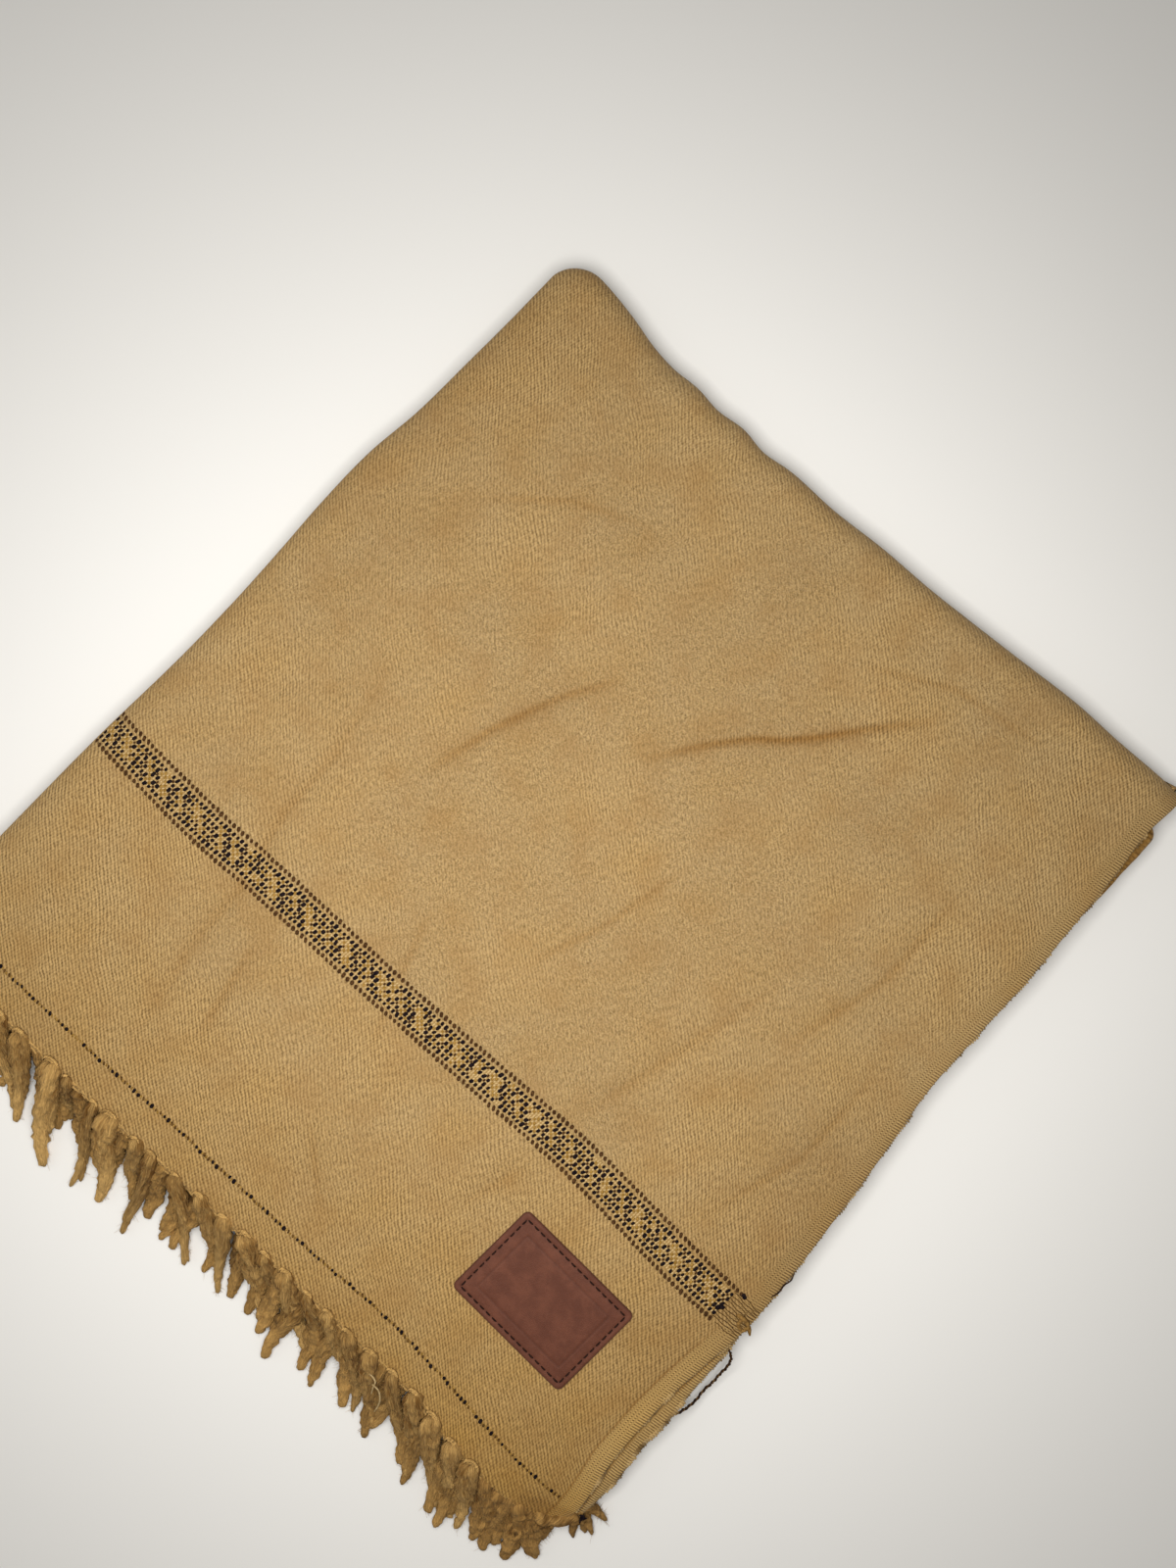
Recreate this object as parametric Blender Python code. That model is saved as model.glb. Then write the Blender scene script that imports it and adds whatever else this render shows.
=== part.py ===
"""A wool shawl folded into a thick square and laid flat, with a fringed end and a sewn leather patch.

+X runs across the cloth, from its lengthwise fold to its selvedge. +Y runs along the cloth, from the
fringed end to the cross fold. +Z is up, and the shawl lies on z = 0. Sizes are in millimetres until a
mesh is made.
"""

import math

import bpy
import numpy as np

MM = 0.001

# Cloth and stack
WALL = 1.8  # one layer of the cloth with its nap
LAYER_GAP = 0.5  # between the top layer and the layers under it
STACK_HEIGHT = 23.0
DOME_RISE = 2.5  # the middle of the stack stands this much above its sides
PANEL_WIDTH = 412.0
PANEL_LENGTH = 450.0
CELL = 14.0  # one mesh cell of the panel
FOLD_STEPS = (0.0, 1.2, 4.0, 9.0, 17.0)  # closer rows where the cloth turns over a fold
FREE_STEPS = (0.0, 5.0, 12.0)  # and beside a free edge

# Sides of the top layer seen from above: (place along the side, place of the side)
LEFT_FOLD = (
    (-210, -207.8), (-148, -208.2), (-87, -208.7), (-25, -207.7), (6, -208.4), (37, -210.1), (67, -212.2),
    (99, -212.9), (129, -210.4), (161, -210.1), (191, -210.0), (222, -210.5), (235, -210.5),
)
CROSS_FOLD = (
    (-210.5, 236.0), (-183, 234.9), (-169, 233.2), (-154, 230.5), (-140, 229.7), (-125, 231.2), (-111, 230.5),
    (-96, 232.8), (-82, 231.7), (-68, 234.2), (-39, 235.8), (-10, 239.4), (19, 241.6), (47, 244.9), (77, 248.8),
    (105, 252.5), (134, 254.1), (163, 256.6), (173, 257.2),
)
SELVEDGE = (
    (-203, 214.0), (-180, 209.0), (-155, 202.8), (-119, 200.0), (-89, 201.1), (-65, 202.6), (-30, 199.5),
    (4, 195.0), (38, 190.0), (73, 183.9), (107, 181.9), (142, 180.4), (176, 177.3), (211, 173.8), (230, 171.3),
    (257.2, 173.0),
)
FRINGED_END = (
    (-207.8, -210.0), (-143, -210.0), (-48, -206.0), (20, -201.6), (87, -199.6), (115, -198.6), (143, -202.5),
    (173, -203.5), (214, -203.0),
)
# Rounded corners: (at the selvedge, at the cross fold, radius)
CORNERS = ((False, False, 14.0), (True, False, 20.0), (True, True, 8.0), (False, True, 18.0))

# How the top layer turns over its two folds: (width of the round, its fall)
LEFT_ROUND = (16.0, 6.0)
CROSS_ROUND = (14.0, 11.5)
APEX_RADIUS = 18.0
# and runs on under them, in rows of (inward, down)
LEFT_TURN = ((0.7, 2.4), (2.4, 4.6), (5.0, 5.6))
CROSS_TURN = ((0.4, 2.6), (1.8, 5.0), (4.2, 6.6))
TURN_FADE = 24.0  # length over which the turn runs out at its two ends
TURN_LEAST = 0.15

# Where the stack thins out: (name, fall, reach)
SELVEDGE_FALL = ("selvedge", 2.5, 18.0)
FRINGE_FALL = ("fringed end", 3.5, 22.0)
LOW_CORNER_FALL = ("low corner", 8.0, 30.0)

# Soft creases pressed into the top layer: (name, depth, half width, route)
CREASES = (
    ("right of the middle", 2.0, 7.0, ((-19, 92), (18, 142), (60, 191))),
    ("left of the middle", 1.6, 7.0, ((-88, 11), (-80, 48), (-68, 81), (-52, 110))),
    ("long left", 1.8, 9.0, ((-134, 41), (-122, -10), (-120, -47), (-110, -83), (-107, -118), (-94, -176))),
    ("by the border", 1.3, 8.0, ((76, -50), (86, -2), (99, 62))),
    ("by the patch", 1.2, 8.0, ((66, -118), (76, -83))),
    ("by the fringe", 1.0, 8.0, ((-75, -150), (-88, -99))),
    ("dent at the left fold", 2.2, 12.0, ((-176, -18), (-140, 17))),
)

# Folded layers below: (name, reach past the top layer at the left fold, cross fold, selvedge, fringed end)
UNDER_FOLDS = (
    ("second", -1.2, -1.0, -3.0, -3.0),
    ("third", -3.0, 0.0, -1.5, -4.0),
    ("bottom", -1.6, -2.0, -2.5, -3.5),
)
FOLD_GROOVE = 2.6  # depth of the groove between two of them
FOLD_SHAPE = ((0.0, 1.0), (0.3, 0.0), (0.75, 0.0))  # (share of the fold's height, share of the groove)
BOTTOM_INSET = 1.5
SIDE_BLEND = 16.0
# The second layer's edge past the top one: (place along the selvedge, reach)
SELVEDGE_LEDGE = (
    (-203, 1.0), (-185, 4.0), (-160, 8.5), (-119, 8.8), (-80, 3.8), (-64, -1.5), (140, -1.5), (190, 1.5),
    (222, 5.5), (232, 7.0), (240, 3.0), (248, -1.5), (257, -1.5),
)
FRINGE_LEDGE = -1.5
LEDGE_ROWS = ((0.6, 0.1), (1.0, 0.8), (0.9, 2.2))  # (share of the reach, fall)
THROAT = (1.5, 1.0)  # (inward, down) from the turned-under edge to the first groove

# Leather patch
PATCH_SIZE = (70.0, 50.0)
PATCH_CENTRE = (124.6, -122.0)
PATCH_THICKNESS = 1.6
PATCH_CORNER = 3.0
PATCH_CELLS = (10, 7)
PATCH_LIFT = 0.4

# Fringe: felted locks, fused at their roots into a narrow strip along the end of a layer
STRIP_DEPTH = 2.2
STRIP_HEIGHT = 2.0
SEAM = 0.4
LOCK_PITCH = 14.0
LOCK_ROOT = 6.4
LOCK_HEADING = -45.0  # degrees from +X, seen from above
LOCK_LEAN = 5.0
HEADING_TURN = 0.4  # share of the edge's own turn that the locks at the corner follow
# (share of the length, width, thickness)
LOCK_SECTIONS = ((0.15, 6.2, 3.2), (0.4, 7.2, 3.6), (0.72, 5.8, 3.2), (1.0, 2.0, 1.4))
LOCK_SWAY = 0.9
FLOOR_CLEARANCE = 0.6
LOWEST_ROOT = 2.6
CORNER_CELLS = 4  # how far past the corner a strip may run
# Rows: (name, first place, last place, length, fall of the root below the cloth's edge)
FRINGE_ROWS = (("fringe_top", 8.0, 382.0, 46.0, 0.0), ("fringe_under", 15.0, 424.0, 26.0, 9.0))

# Colour, roughness
CLOTH_COLOUR = (0.46, 0.30, 0.135, 1.0)
UNDER_COLOUR = (0.40, 0.255, 0.11, 1.0)
LOCK_COLOUR = (0.42, 0.27, 0.12, 1.0)
LEATHER_COLOUR = (0.155, 0.055, 0.031, 1.0)


def clear_scene():
    for old in list(bpy.data.objects):
        bpy.data.objects.remove(old, do_unlink=True)


def smooth_step(value):
    value = np.clip(value, 0.0, 1.0)
    return value * value * (3.0 - 2.0 * value)


def curve_through(rows):
    """A smooth function of the first column through the rows' second."""
    knots, places = np.array(rows, float).T
    slopes = np.gradient(places, knots)

    def place(along):
        along = np.clip(along, knots[0], knots[-1])
        k = np.clip(np.searchsorted(knots, along) - 1, 0, len(knots) - 2)
        span = knots[k + 1] - knots[k]
        u = (along - knots[k]) / span
        start = (1 + 2 * u) * (1 - u) ** 2 * places[k] + u * (1 - u) ** 2 * span * slopes[k]
        end = u * u * (3 - 2 * u) * places[k + 1] + u * u * (u - 1) * span * slopes[k + 1]
        return start + end

    return place


left_x = curve_through(LEFT_FOLD)
cross_y = curve_through(CROSS_FOLD)
selvedge_x = curve_through(SELVEDGE)
fringed_y = curve_through(FRINGED_END)
selvedge_ledge = curve_through(SELVEDGE_LEDGE)


def mix(a, b, share):
    return a + (b - a) * share


def side_points(share, rows, place, swapped):
    """Points at these shares of a side's length, as x and y."""
    along = mix(rows[0][0], rows[-1][0], share)
    across = place(along)
    return np.stack((across, along) if swapped else (along, across), axis=-1)


def plan(s, t):
    """The top layer's outline filled in smoothly: s runs from the left fold, t from the fringed end."""
    left, right = side_points(t, LEFT_FOLD, left_x, True), side_points(t, SELVEDGE, selvedge_x, True)
    low, high = side_points(s, FRINGED_END, fringed_y, False), side_points(s, CROSS_FOLD, cross_y, False)
    s, t = s[..., None], t[..., None]
    corners = [side_points(np.array(end), rows, place, False) for rows, place in
               ((FRINGED_END, fringed_y), (CROSS_FOLD, cross_y)) for end in (0.0, 1.0)]
    bilinear = mix(mix(corners[0], corners[1], s), mix(corners[2], corners[3], s), t)
    return mix(left, right, s) + mix(low, high, t) - bilinear


def round_corners(from_left, from_end):
    """Moves the distances of points near a corner so that the corner becomes a quarter circle."""
    from_left, from_end = from_left.copy(), from_end.copy()
    for at_selvedge, at_cross_fold, radius in CORNERS:
        across = PANEL_WIDTH - from_left if at_selvedge else from_left
        along = PANEL_LENGTH - from_end if at_cross_fold else from_end
        a, b = np.maximum(1 - across / radius, 0), np.maximum(1 - along / radius, 0)
        inside = (a > 0) & (b > 0)
        across = np.where(inside, radius * (1 - a * np.sqrt(1 - b * b / 2)), across)
        along = np.where(inside, radius * (1 - b * np.sqrt(1 - a * a / 2)), along)
        from_left = PANEL_WIDTH - across if at_selvedge else across
        from_end = PANEL_LENGTH - along if at_cross_fold else along
    return from_left, from_end


def crease_depth(x, y):
    """How deep the creases press the cloth here. Each is deepest in its middle and runs out at its ends."""
    total = np.zeros_like(x)
    for _, depth, half_width, route in CREASES:
        route = np.array(route, float)
        lengths = np.hypot(*(route[1:] - route[:-1]).T)
        nearest, share = np.full_like(x, np.inf), np.zeros_like(x)
        for k, length in enumerate(lengths):
            along = (route[k + 1] - route[k]) / length
            u = np.clip((x - route[k, 0]) * along[0] + (y - route[k, 1]) * along[1], 0, length)
            distance = np.hypot(x - route[k, 0] - u * along[0], y - route[k, 1] - u * along[1])
            share = np.where(distance < nearest, (lengths[:k].sum() + u) / lengths.sum(), share)
            nearest = np.minimum(nearest, distance)
        total += depth * (0.25 + 0.75 * np.sin(math.pi * share)) * np.exp(-((nearest / half_width) ** 2))
    return total


def cloth_height(x, y):
    """The top of the cloth above the ground."""
    left, cross = x - left_x(y), cross_y(x) - y
    selvedge, end = selvedge_x(y) - x, y - fringed_y(x)
    across = np.clip(left / PANEL_WIDTH, 0, 1)
    along = np.clip(end / PANEL_LENGTH, 0, 1)
    height = STACK_HEIGHT + DOME_RISE * np.sqrt(np.sin(math.pi * across) * np.sin(math.pi * along))
    height = height - SELVEDGE_FALL[1] * np.exp(-np.maximum(selvedge, 0) / SELVEDGE_FALL[2])
    height = height - FRINGE_FALL[1] * np.exp(-np.maximum(end, 0) / FRINGE_FALL[2])
    height = height - LOW_CORNER_FALL[1] * np.exp(-(np.hypot(selvedge, end) / LOW_CORNER_FALL[2]) ** 2)
    a, b = np.maximum(1 - left / APEX_RADIUS, 0), np.maximum(1 - cross / APEX_RADIUS, 0)
    inward = APEX_RADIUS * (1 - np.minimum(np.hypot(a, b), 1))
    to_cross = smooth_step(b / np.maximum(a + b, 1e-9))
    width = mix(LEFT_ROUND[0], CROSS_ROUND[0], to_cross)
    fall = mix(LEFT_ROUND[1], CROSS_ROUND[1], to_cross)
    round_share = np.clip(1 - inward / width, 0, 1)
    fade = smooth_step(inward / width)
    return height - fall * (1 - np.sqrt(1 - round_share**2)) - crease_depth(x, y) * fade


def stations(length, first, last):
    """Distances of the mesh rows between two sides, with the given closer rows at each."""
    inner = np.linspace(first[-1], length - last[-1], round((length - first[-1] - last[-1]) / CELL) + 1)
    return np.concatenate((first[:-1], inner, length - np.array(last[-2::-1])))


def grid_faces(columns, rows):
    index = np.arange(columns * rows).reshape(columns, rows)
    return np.stack((index[:-1, :-1], index[1:, :-1], index[1:, 1:], index[:-1, 1:]), axis=-1).reshape(-1, 4)


def grid_rim(columns, rows):
    """The grid's border, seen from above anticlockwise from the corner of left fold and fringed end."""
    index = np.arange(columns * rows).reshape(columns, rows)
    return np.concatenate((index[:, 0], index[-1, 1:], index[-2::-1, -1], index[0, -2:0:-1]))


def band_faces(upper, lower, closed):
    """Faces between two rows of points, the lower one outside or below."""
    pairs = range(len(upper)) if closed else range(len(upper) - 1)
    return [(upper[k], lower[k], lower[(k + 1) % len(upper)], upper[(k + 1) % len(upper)]) for k in pairs]


def outward(points):
    """Level unit vectors pointing out of an anticlockwise loop."""
    along = np.roll(points, -1, axis=0) - np.roll(points, 1, axis=0)
    normal = np.stack((along[:, 1], -along[:, 0]), axis=-1)
    return normal / np.linalg.norm(normal, axis=-1, keepdims=True)


def vertex_normals(points, faces):
    mesh = bpy.data.meshes.new("normals")
    mesh.from_pydata(points.tolist(), [], [tuple(map(int, face)) for face in faces])
    mesh.update()
    normals = np.array([vertex.normal[:] for vertex in mesh.vertices])
    bpy.data.meshes.remove(mesh)
    return normals


def material(name, colour, roughness, sheen):
    made = bpy.data.materials.new(name)
    made.use_nodes = True
    shader = made.node_tree.nodes["Principled BSDF"]
    shader.inputs["Base Color"].default_value = colour
    shader.inputs["Roughness"].default_value = roughness
    shader.inputs["Metallic"].default_value = 0.0
    shader.inputs["Sheen Weight"].default_value = sheen
    return made


def add_object(name, points, faces, finish, parent):
    mesh = bpy.data.meshes.new(name)
    mesh.from_pydata((np.asarray(points) * MM).tolist(), [], [tuple(map(int, face)) for face in faces])
    mesh.validate()
    mesh.shade_smooth()
    mesh.set_sharp_from_angle(angle=math.radians(50))
    made = bpy.data.objects.new(name, mesh)
    made.parent = parent
    mesh.materials.append(finish)
    bpy.context.scene.collection.objects.link(made)
    return made


class TopLayer:
    """The points of the cloth's outer face: a grid, and the rows that turn under at the two folds."""

    def __init__(self):
        across = stations(PANEL_WIDTH, FOLD_STEPS, FREE_STEPS)
        along = stations(PANEL_LENGTH, FREE_STEPS, FOLD_STEPS)
        self.columns, self.rows = len(across), len(along)
        from_left, from_end = round_corners(*np.meshgrid(across, along, indexing="ij"))
        flat = plan(from_left / PANEL_WIDTH, from_end / PANEL_LENGTH).reshape(-1, 2)
        self.grid = np.column_stack((flat, cloth_height(flat[:, 0], flat[:, 1])))
        self.rim = grid_rim(self.columns, self.rows)
        self.rim_points = self.grid[self.rim]
        self.out = outward(self.rim_points[:, :2])
        self.fold_start = self.columns + self.rows - 2
        self.fold = np.concatenate((np.arange(self.fold_start, len(self.rim)), [0]))
        self.weigh_sides()
        self.turn = self.turned_rows()
        self.faces = [tuple(face) for face in grid_faces(self.columns, self.rows)]
        count = len(self.grid)
        upper = self.rim[self.fold]
        for row in range(len(LEFT_TURN)):
            lower = count + row * len(self.fold) + np.arange(len(self.fold))
            self.faces += band_faces(upper, lower, closed=False)
            upper = lower
        self.points = np.concatenate((self.grid, *self.turn))
        self.normals = vertex_normals(self.points, self.faces)

    def weigh_sides(self):
        """For each rim point, how far it belongs to the left fold, cross fold, selvedge and fringed end."""
        steps = np.linalg.norm(np.roll(self.rim_points[:, :2], -1, axis=0) - self.rim_points[:, :2], axis=-1)
        place = np.concatenate(([0], np.cumsum(steps)[:-1]))
        total = steps.sum()
        ends = [0, self.columns - 1, self.fold_start, self.fold_start + self.columns - 1]
        bounds = [place[k] for k in ends] + [total]
        weights = []
        for side in range(4):
            start, stop = bounds[side], bounds[side + 1]
            inside = np.minimum((place - start + total / 2) % total - total / 2,
                                (stop - place + total / 2) % total - total / 2)
            inside = np.where((place >= start) & (place <= stop), np.minimum(place - start, stop - place), inside)
            weights.append(smooth_step(0.5 + inside / (2 * SIDE_BLEND)))
        end, selvedge, cross, left = weights
        self.sides = np.stack((left, cross, selvedge, end), axis=-1)
        self.sides /= self.sides.sum(axis=-1, keepdims=True)
        path = np.concatenate((place[self.fold_start:], [total]))
        inside = np.minimum(path - path[0], path[-1] - path)
        self.turn_share = mix(TURN_LEAST, 1.0, smooth_step(inside / TURN_FADE))

    def turned_rows(self):
        start, out = self.rim_points[self.fold], self.out[self.fold]
        left = self.sides[self.fold, 0] + self.sides[self.fold, 3]
        rows = []
        for (left_in, left_down), (cross_in, cross_down) in zip(LEFT_TURN, CROSS_TURN):
            inward = mix(cross_in, left_in, left) * self.turn_share
            down = mix(cross_down, left_down, left) * self.turn_share
            rows.append(np.column_stack((start[:, :2] - out * inward[:, None], start[:, 2] - down)))
        return rows

    def inside(self, depth):
        return self.points - self.normals * depth


def add_top_panel(top, finish, parent):
    panel = add_object("top_panel", top.points, top.faces, finish, parent)
    wall = panel.modifiers.new("Cloth thickness", "SOLIDIFY")
    wall.thickness = WALL * MM
    wall.offset = -1.0
    wall.use_even_offset = False
    wall.use_quality_normals = True
    return panel


def under_rings(top):
    """The side of the folded layers, ring by ring from the top layer's border down to the ground."""
    inner = top.inside(WALL + LAYER_GAP)
    count, out, sides = len(top.grid), top.out, top.sides
    rim = inner[top.rim]
    fold_share = np.zeros(len(rim))
    fold_share[top.fold] = 1.0
    ledge = mix(selvedge_ledge(rim[:, 1]), FRINGE_LEDGE, sides[:, 3] / (sides[:, 2] + sides[:, 3] + 1e-9))
    first = rim.copy()
    first[:, :2] += out * (np.minimum(ledge, 0) * (1 - fold_share))[:, None]
    rings = [first]
    turned_end = rim.copy()
    for row, (reach, fall) in enumerate(LEDGE_ROWS):
        free = first.copy()
        free[:, :2] += out * (np.maximum(ledge, 0) * reach)[:, None]
        free[:, 2] -= fall
        turned = free.copy()
        turned[top.fold] = inner[count + row * len(top.fold):][:len(top.fold)]
        turned_end = top.rim_points.copy()
        turned_end[top.fold] = top.turn[row]
        rings.append(mix(free, turned, fold_share[:, None]))
    throat = rings[-1].copy()
    throat[:, :2] -= out * THROAT[0]
    throat[:, 2] -= THROAT[1]
    rings.append(throat)
    under_turn = mix(throat[:, 2] - 0.4, np.minimum(turned_end[:, 2], throat[:, 2]) - 2 * LAYER_GAP, fold_share)
    fold_height = under_turn / len(UNDER_FOLDS)
    base = top.rim_points[:, :2]
    for k, (_, *reaches) in enumerate(UNDER_FOLDS):
        reach = sides @ np.array(reaches)
        for share, groove in FOLD_SHAPE:
            level = under_turn - (k + share) * fold_height
            place = base + out * (reach - groove * FOLD_GROOVE)[:, None]
            if k == 0 and groove:
                place = throat[:, :2]
            rings.append(np.column_stack((place, level)))
    rings.append(np.column_stack((place - out * BOTTOM_INSET, np.zeros(len(rim)))))
    return rings


def add_under_layers(top, rings, finish, parent):
    """One solid for every layer that the top one hides, its rounded folds showing at the sides."""
    grid = top.inside(WALL + LAYER_GAP)[:len(top.grid)]
    grid[top.rim] = rings[0]
    faces = [tuple(face) for face in grid_faces(top.columns, top.rows)]
    upper = top.rim
    for k, _ in enumerate(rings[1:]):
        lower = len(grid) + k * len(top.rim) + np.arange(len(top.rim))
        faces += band_faces(upper, lower, closed=True)
        upper = lower
    faces.append(tuple(upper[::-1]))
    return add_object("under_layers", np.concatenate((grid, *rings[1:])), faces, finish, parent)


def add_patch(finish, parent):
    """A rounded slab that follows the cloth below it."""
    half = np.array(PATCH_SIZE) / 2
    u, v = np.meshgrid(*(np.linspace(-1, 1, cells + 1) for cells in PATCH_CELLS), indexing="ij")
    local = np.stack((u, v), axis=-1) * half
    inset = PATCH_CORNER * (1 - math.sqrt(0.5))
    for i in (0, -1):
        for j in (0, -1):
            local[i, j] -= np.sign(local[i, j]) * inset
    flat = (local + PATCH_CENTRE).reshape(-1, 2)
    low = np.column_stack((flat, cloth_height(flat[:, 0], flat[:, 1]) + PATCH_LIFT))
    high = low + (0, 0, PATCH_THICKNESS)
    columns, rows = PATCH_CELLS[0] + 1, PATCH_CELLS[1] + 1
    top_faces = grid_faces(columns, rows) + len(low)
    bottom_faces = grid_faces(columns, rows)[:, ::-1]
    rim = grid_rim(columns, rows)
    faces = [tuple(face) for face in (*top_faces, *bottom_faces)] + band_faces(rim + len(low), rim, closed=True)
    return add_object("leather_patch", np.concatenate((low, high)), faces, finish, parent)


def lock_rings(root, heading, index, length):
    """Four-sided sections of one lock, from its root to its tip."""
    heading = math.radians(heading + LOCK_LEAN * math.sin(0.55 * index))
    along = np.array((math.cos(heading), math.sin(heading)))
    across = np.array((-along[1], along[0]))
    reach = length * (1 + 0.09 * math.sin(1.9 * index))
    centre = root.mean(axis=0)
    rings = []
    for share, width, thickness in LOCK_SECTIONS:
        sway = LOCK_SWAY * math.sin(2 * math.pi * share + 0.8 * index) * share
        rest = FLOOR_CLEARANCE + thickness / 2
        level = mix(centre[2], rest, smooth_step(share * 1.06))
        middle = centre[:2] + along * reach * share + across * sway
        left, right = middle - across * width / 2, middle + across * width / 2
        rings.append(np.array((
            (*left, level), (*middle, level - thickness / 2), (*right, level), (*middle, level + thickness / 2),
        )))
    return rings


def strip_route(top, rings, drop):
    """Where a strip's back middle line runs: x, y, z and the outward direction, by distance along the end."""
    count = top.columns + CORNER_CELLS
    rim, out = top.rim_points[:count], top.out[:count]
    level = np.maximum(rim[:, 2] - WALL / 2 - drop, LOWEST_ROOT)
    reach = np.zeros(count) if drop == 0 else np.full(count, -np.inf)
    for ring in rings if drop else ():
        beside = np.abs(ring[:count, 2] - level) < 1.6 * STRIP_HEIGHT
        past = ((ring[:count, :2] - rim[:, :2]) * out).sum(axis=-1)
        reach = np.where(beside, np.maximum(reach, past), reach)
    places = np.concatenate(([0], np.cumsum(np.linalg.norm(np.diff(rim[:, :2], axis=0), axis=-1))))
    return places, np.column_stack((rim[:, :2] + out * (reach + SEAM)[:, None], level, out))


def add_fringe(row, top, rings, finish, parent):
    """A strip along the end of one layer, each lock drawn out of the strip's front."""
    name, first, last, length, drop = row
    known, route = strip_route(top, rings, drop)
    middles = np.arange(first, last + 0.1, LOCK_PITCH)
    places = np.sort(np.concatenate((middles - LOCK_ROOT / 2, middles, middles + LOCK_ROOT / 2)))
    x, y, z, out_x, out_y = (np.interp(places, known, column) for column in route.T)
    back_low, back_high, front_high, front_low = (
        np.column_stack((x + out_x * depth, y + out_y * depth, z + rise * STRIP_HEIGHT / 2))
        for depth, rise in ((0, -1), (0, 1), (STRIP_DEPTH, 1), (STRIP_DEPTH, -1))
    )
    count = len(places)
    points = [back_low, back_high, front_high, front_low]
    strip = np.concatenate(points)
    low_back, high_back, high_front, low_front = (np.arange(count) + k * count for k in range(4))
    faces = band_faces(low_back, high_back, closed=False) + band_faces(high_back, high_front, closed=False)
    faces += band_faces(low_front, low_back, closed=False)
    faces.append((low_front[0], high_front[0], high_back[0], low_back[0]))
    faces.append((low_back[-1], high_back[-1], high_front[-1], low_front[-1]))
    for k in range(2, count - 1, 3):
        faces.append((high_front[k], low_front[k], low_front[k + 1], high_front[k + 1]))
    made = len(strip)
    for index in range(len(middles)):
        k = 3 * index
        root = [*low_front[k:k + 3], *high_front[k:k + 3][::-1]]
        turn = math.degrees(math.atan2(out_y[k + 1], out_x[k + 1])) + 90.0
        sections = lock_rings(strip[root], LOCK_HEADING + HEADING_TURN * turn, index, length)
        left, low, right, high = range(made, made + 4)
        faces += [
            (root[0], root[1], low, left), (root[1], root[2], right, low), (root[2], root[3], right),
            (root[3], root[4], high, right), (root[4], root[5], left, high), (root[5], root[0], left),
        ]
        for start in range(made, made + 4 * (len(sections) - 1), 4):
            faces += [(start + n, start + (n + 1) % 4, start + 4 + (n + 1) % 4, start + 4 + n) for n in range(4)]
        made += 4 * len(sections)
        faces.append(tuple(range(made - 4, made)))
        points += sections
    return add_object(name, np.concatenate(points), faces, finish, parent)


def centre_on_ground(parent, objects):
    """Moves the whole shawl so that its box stands on the ground with its middle over the origin."""
    corners = np.concatenate([np.array([vertex.co[:] for vertex in made.data.vertices]) for made in objects])
    middle = (corners.min(axis=0) + corners.max(axis=0)) / 2
    parent.location = (-middle[0], -middle[1], 0.0)


def main():
    clear_scene()
    shawl = bpy.data.objects.new("shawl", None)
    bpy.context.scene.collection.objects.link(shawl)
    top = TopLayer()
    rings = under_rings(top)
    objects = [
        add_top_panel(top, material("camel wool twill", CLOTH_COLOUR, 0.9, 0.4), shawl),
        add_under_layers(top, rings, material("camel wool folds", UNDER_COLOUR, 0.9, 0.4), shawl),
        add_patch(material("brown leather", LEATHER_COLOUR, 0.55, 0.0), shawl),
    ]
    locks = material("felted locks", LOCK_COLOUR, 0.95, 0.4)
    for row in FRINGE_ROWS:
        objects.append(add_fringe(row, top, rings, locks, shawl))
    centre_on_ground(shawl, objects)


main()
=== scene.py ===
import math

import bpy
import numpy as np
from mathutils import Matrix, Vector


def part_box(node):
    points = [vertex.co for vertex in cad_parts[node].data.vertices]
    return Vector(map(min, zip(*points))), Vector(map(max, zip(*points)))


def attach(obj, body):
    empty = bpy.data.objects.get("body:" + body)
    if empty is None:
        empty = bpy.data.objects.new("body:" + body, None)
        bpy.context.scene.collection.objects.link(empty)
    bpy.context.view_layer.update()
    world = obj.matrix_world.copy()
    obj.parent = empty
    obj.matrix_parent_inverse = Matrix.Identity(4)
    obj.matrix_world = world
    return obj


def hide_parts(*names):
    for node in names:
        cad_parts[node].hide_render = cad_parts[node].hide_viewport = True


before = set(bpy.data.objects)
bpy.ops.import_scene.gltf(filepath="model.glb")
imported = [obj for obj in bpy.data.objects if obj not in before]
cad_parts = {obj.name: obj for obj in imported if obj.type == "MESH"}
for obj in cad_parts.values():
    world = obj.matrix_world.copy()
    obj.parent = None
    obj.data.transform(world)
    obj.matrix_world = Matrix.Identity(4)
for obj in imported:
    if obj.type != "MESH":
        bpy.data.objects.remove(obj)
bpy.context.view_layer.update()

mm = 0.001

# Every table below is in millimetres, measured from the same point of the cloth as the part's own tables.
patchMiddle = np.array((124.6, -122.0))
patchLow, patchHigh = (np.array(corner[:]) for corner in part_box("leather_patch"))
shift = patchMiddle - (patchLow + patchHigh)[:2] / 2 / mm


def toFrame(points):
    return (np.asarray(points, float) - (shift[0], shift[1], 0.0)) * mm


def smoothStep(value):
    value = np.clip(value, 0.0, 1.0)
    return value * value * (3.0 - 2.0 * value)


def mix(a, b, share):
    return a + (b - a) * share


def bell(value, width):
    return np.exp(-((value / width) ** 2))


def unit(vectors):
    return vectors / np.maximum(np.linalg.norm(vectors, axis=-1, keepdims=True), 1e-9)


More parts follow.
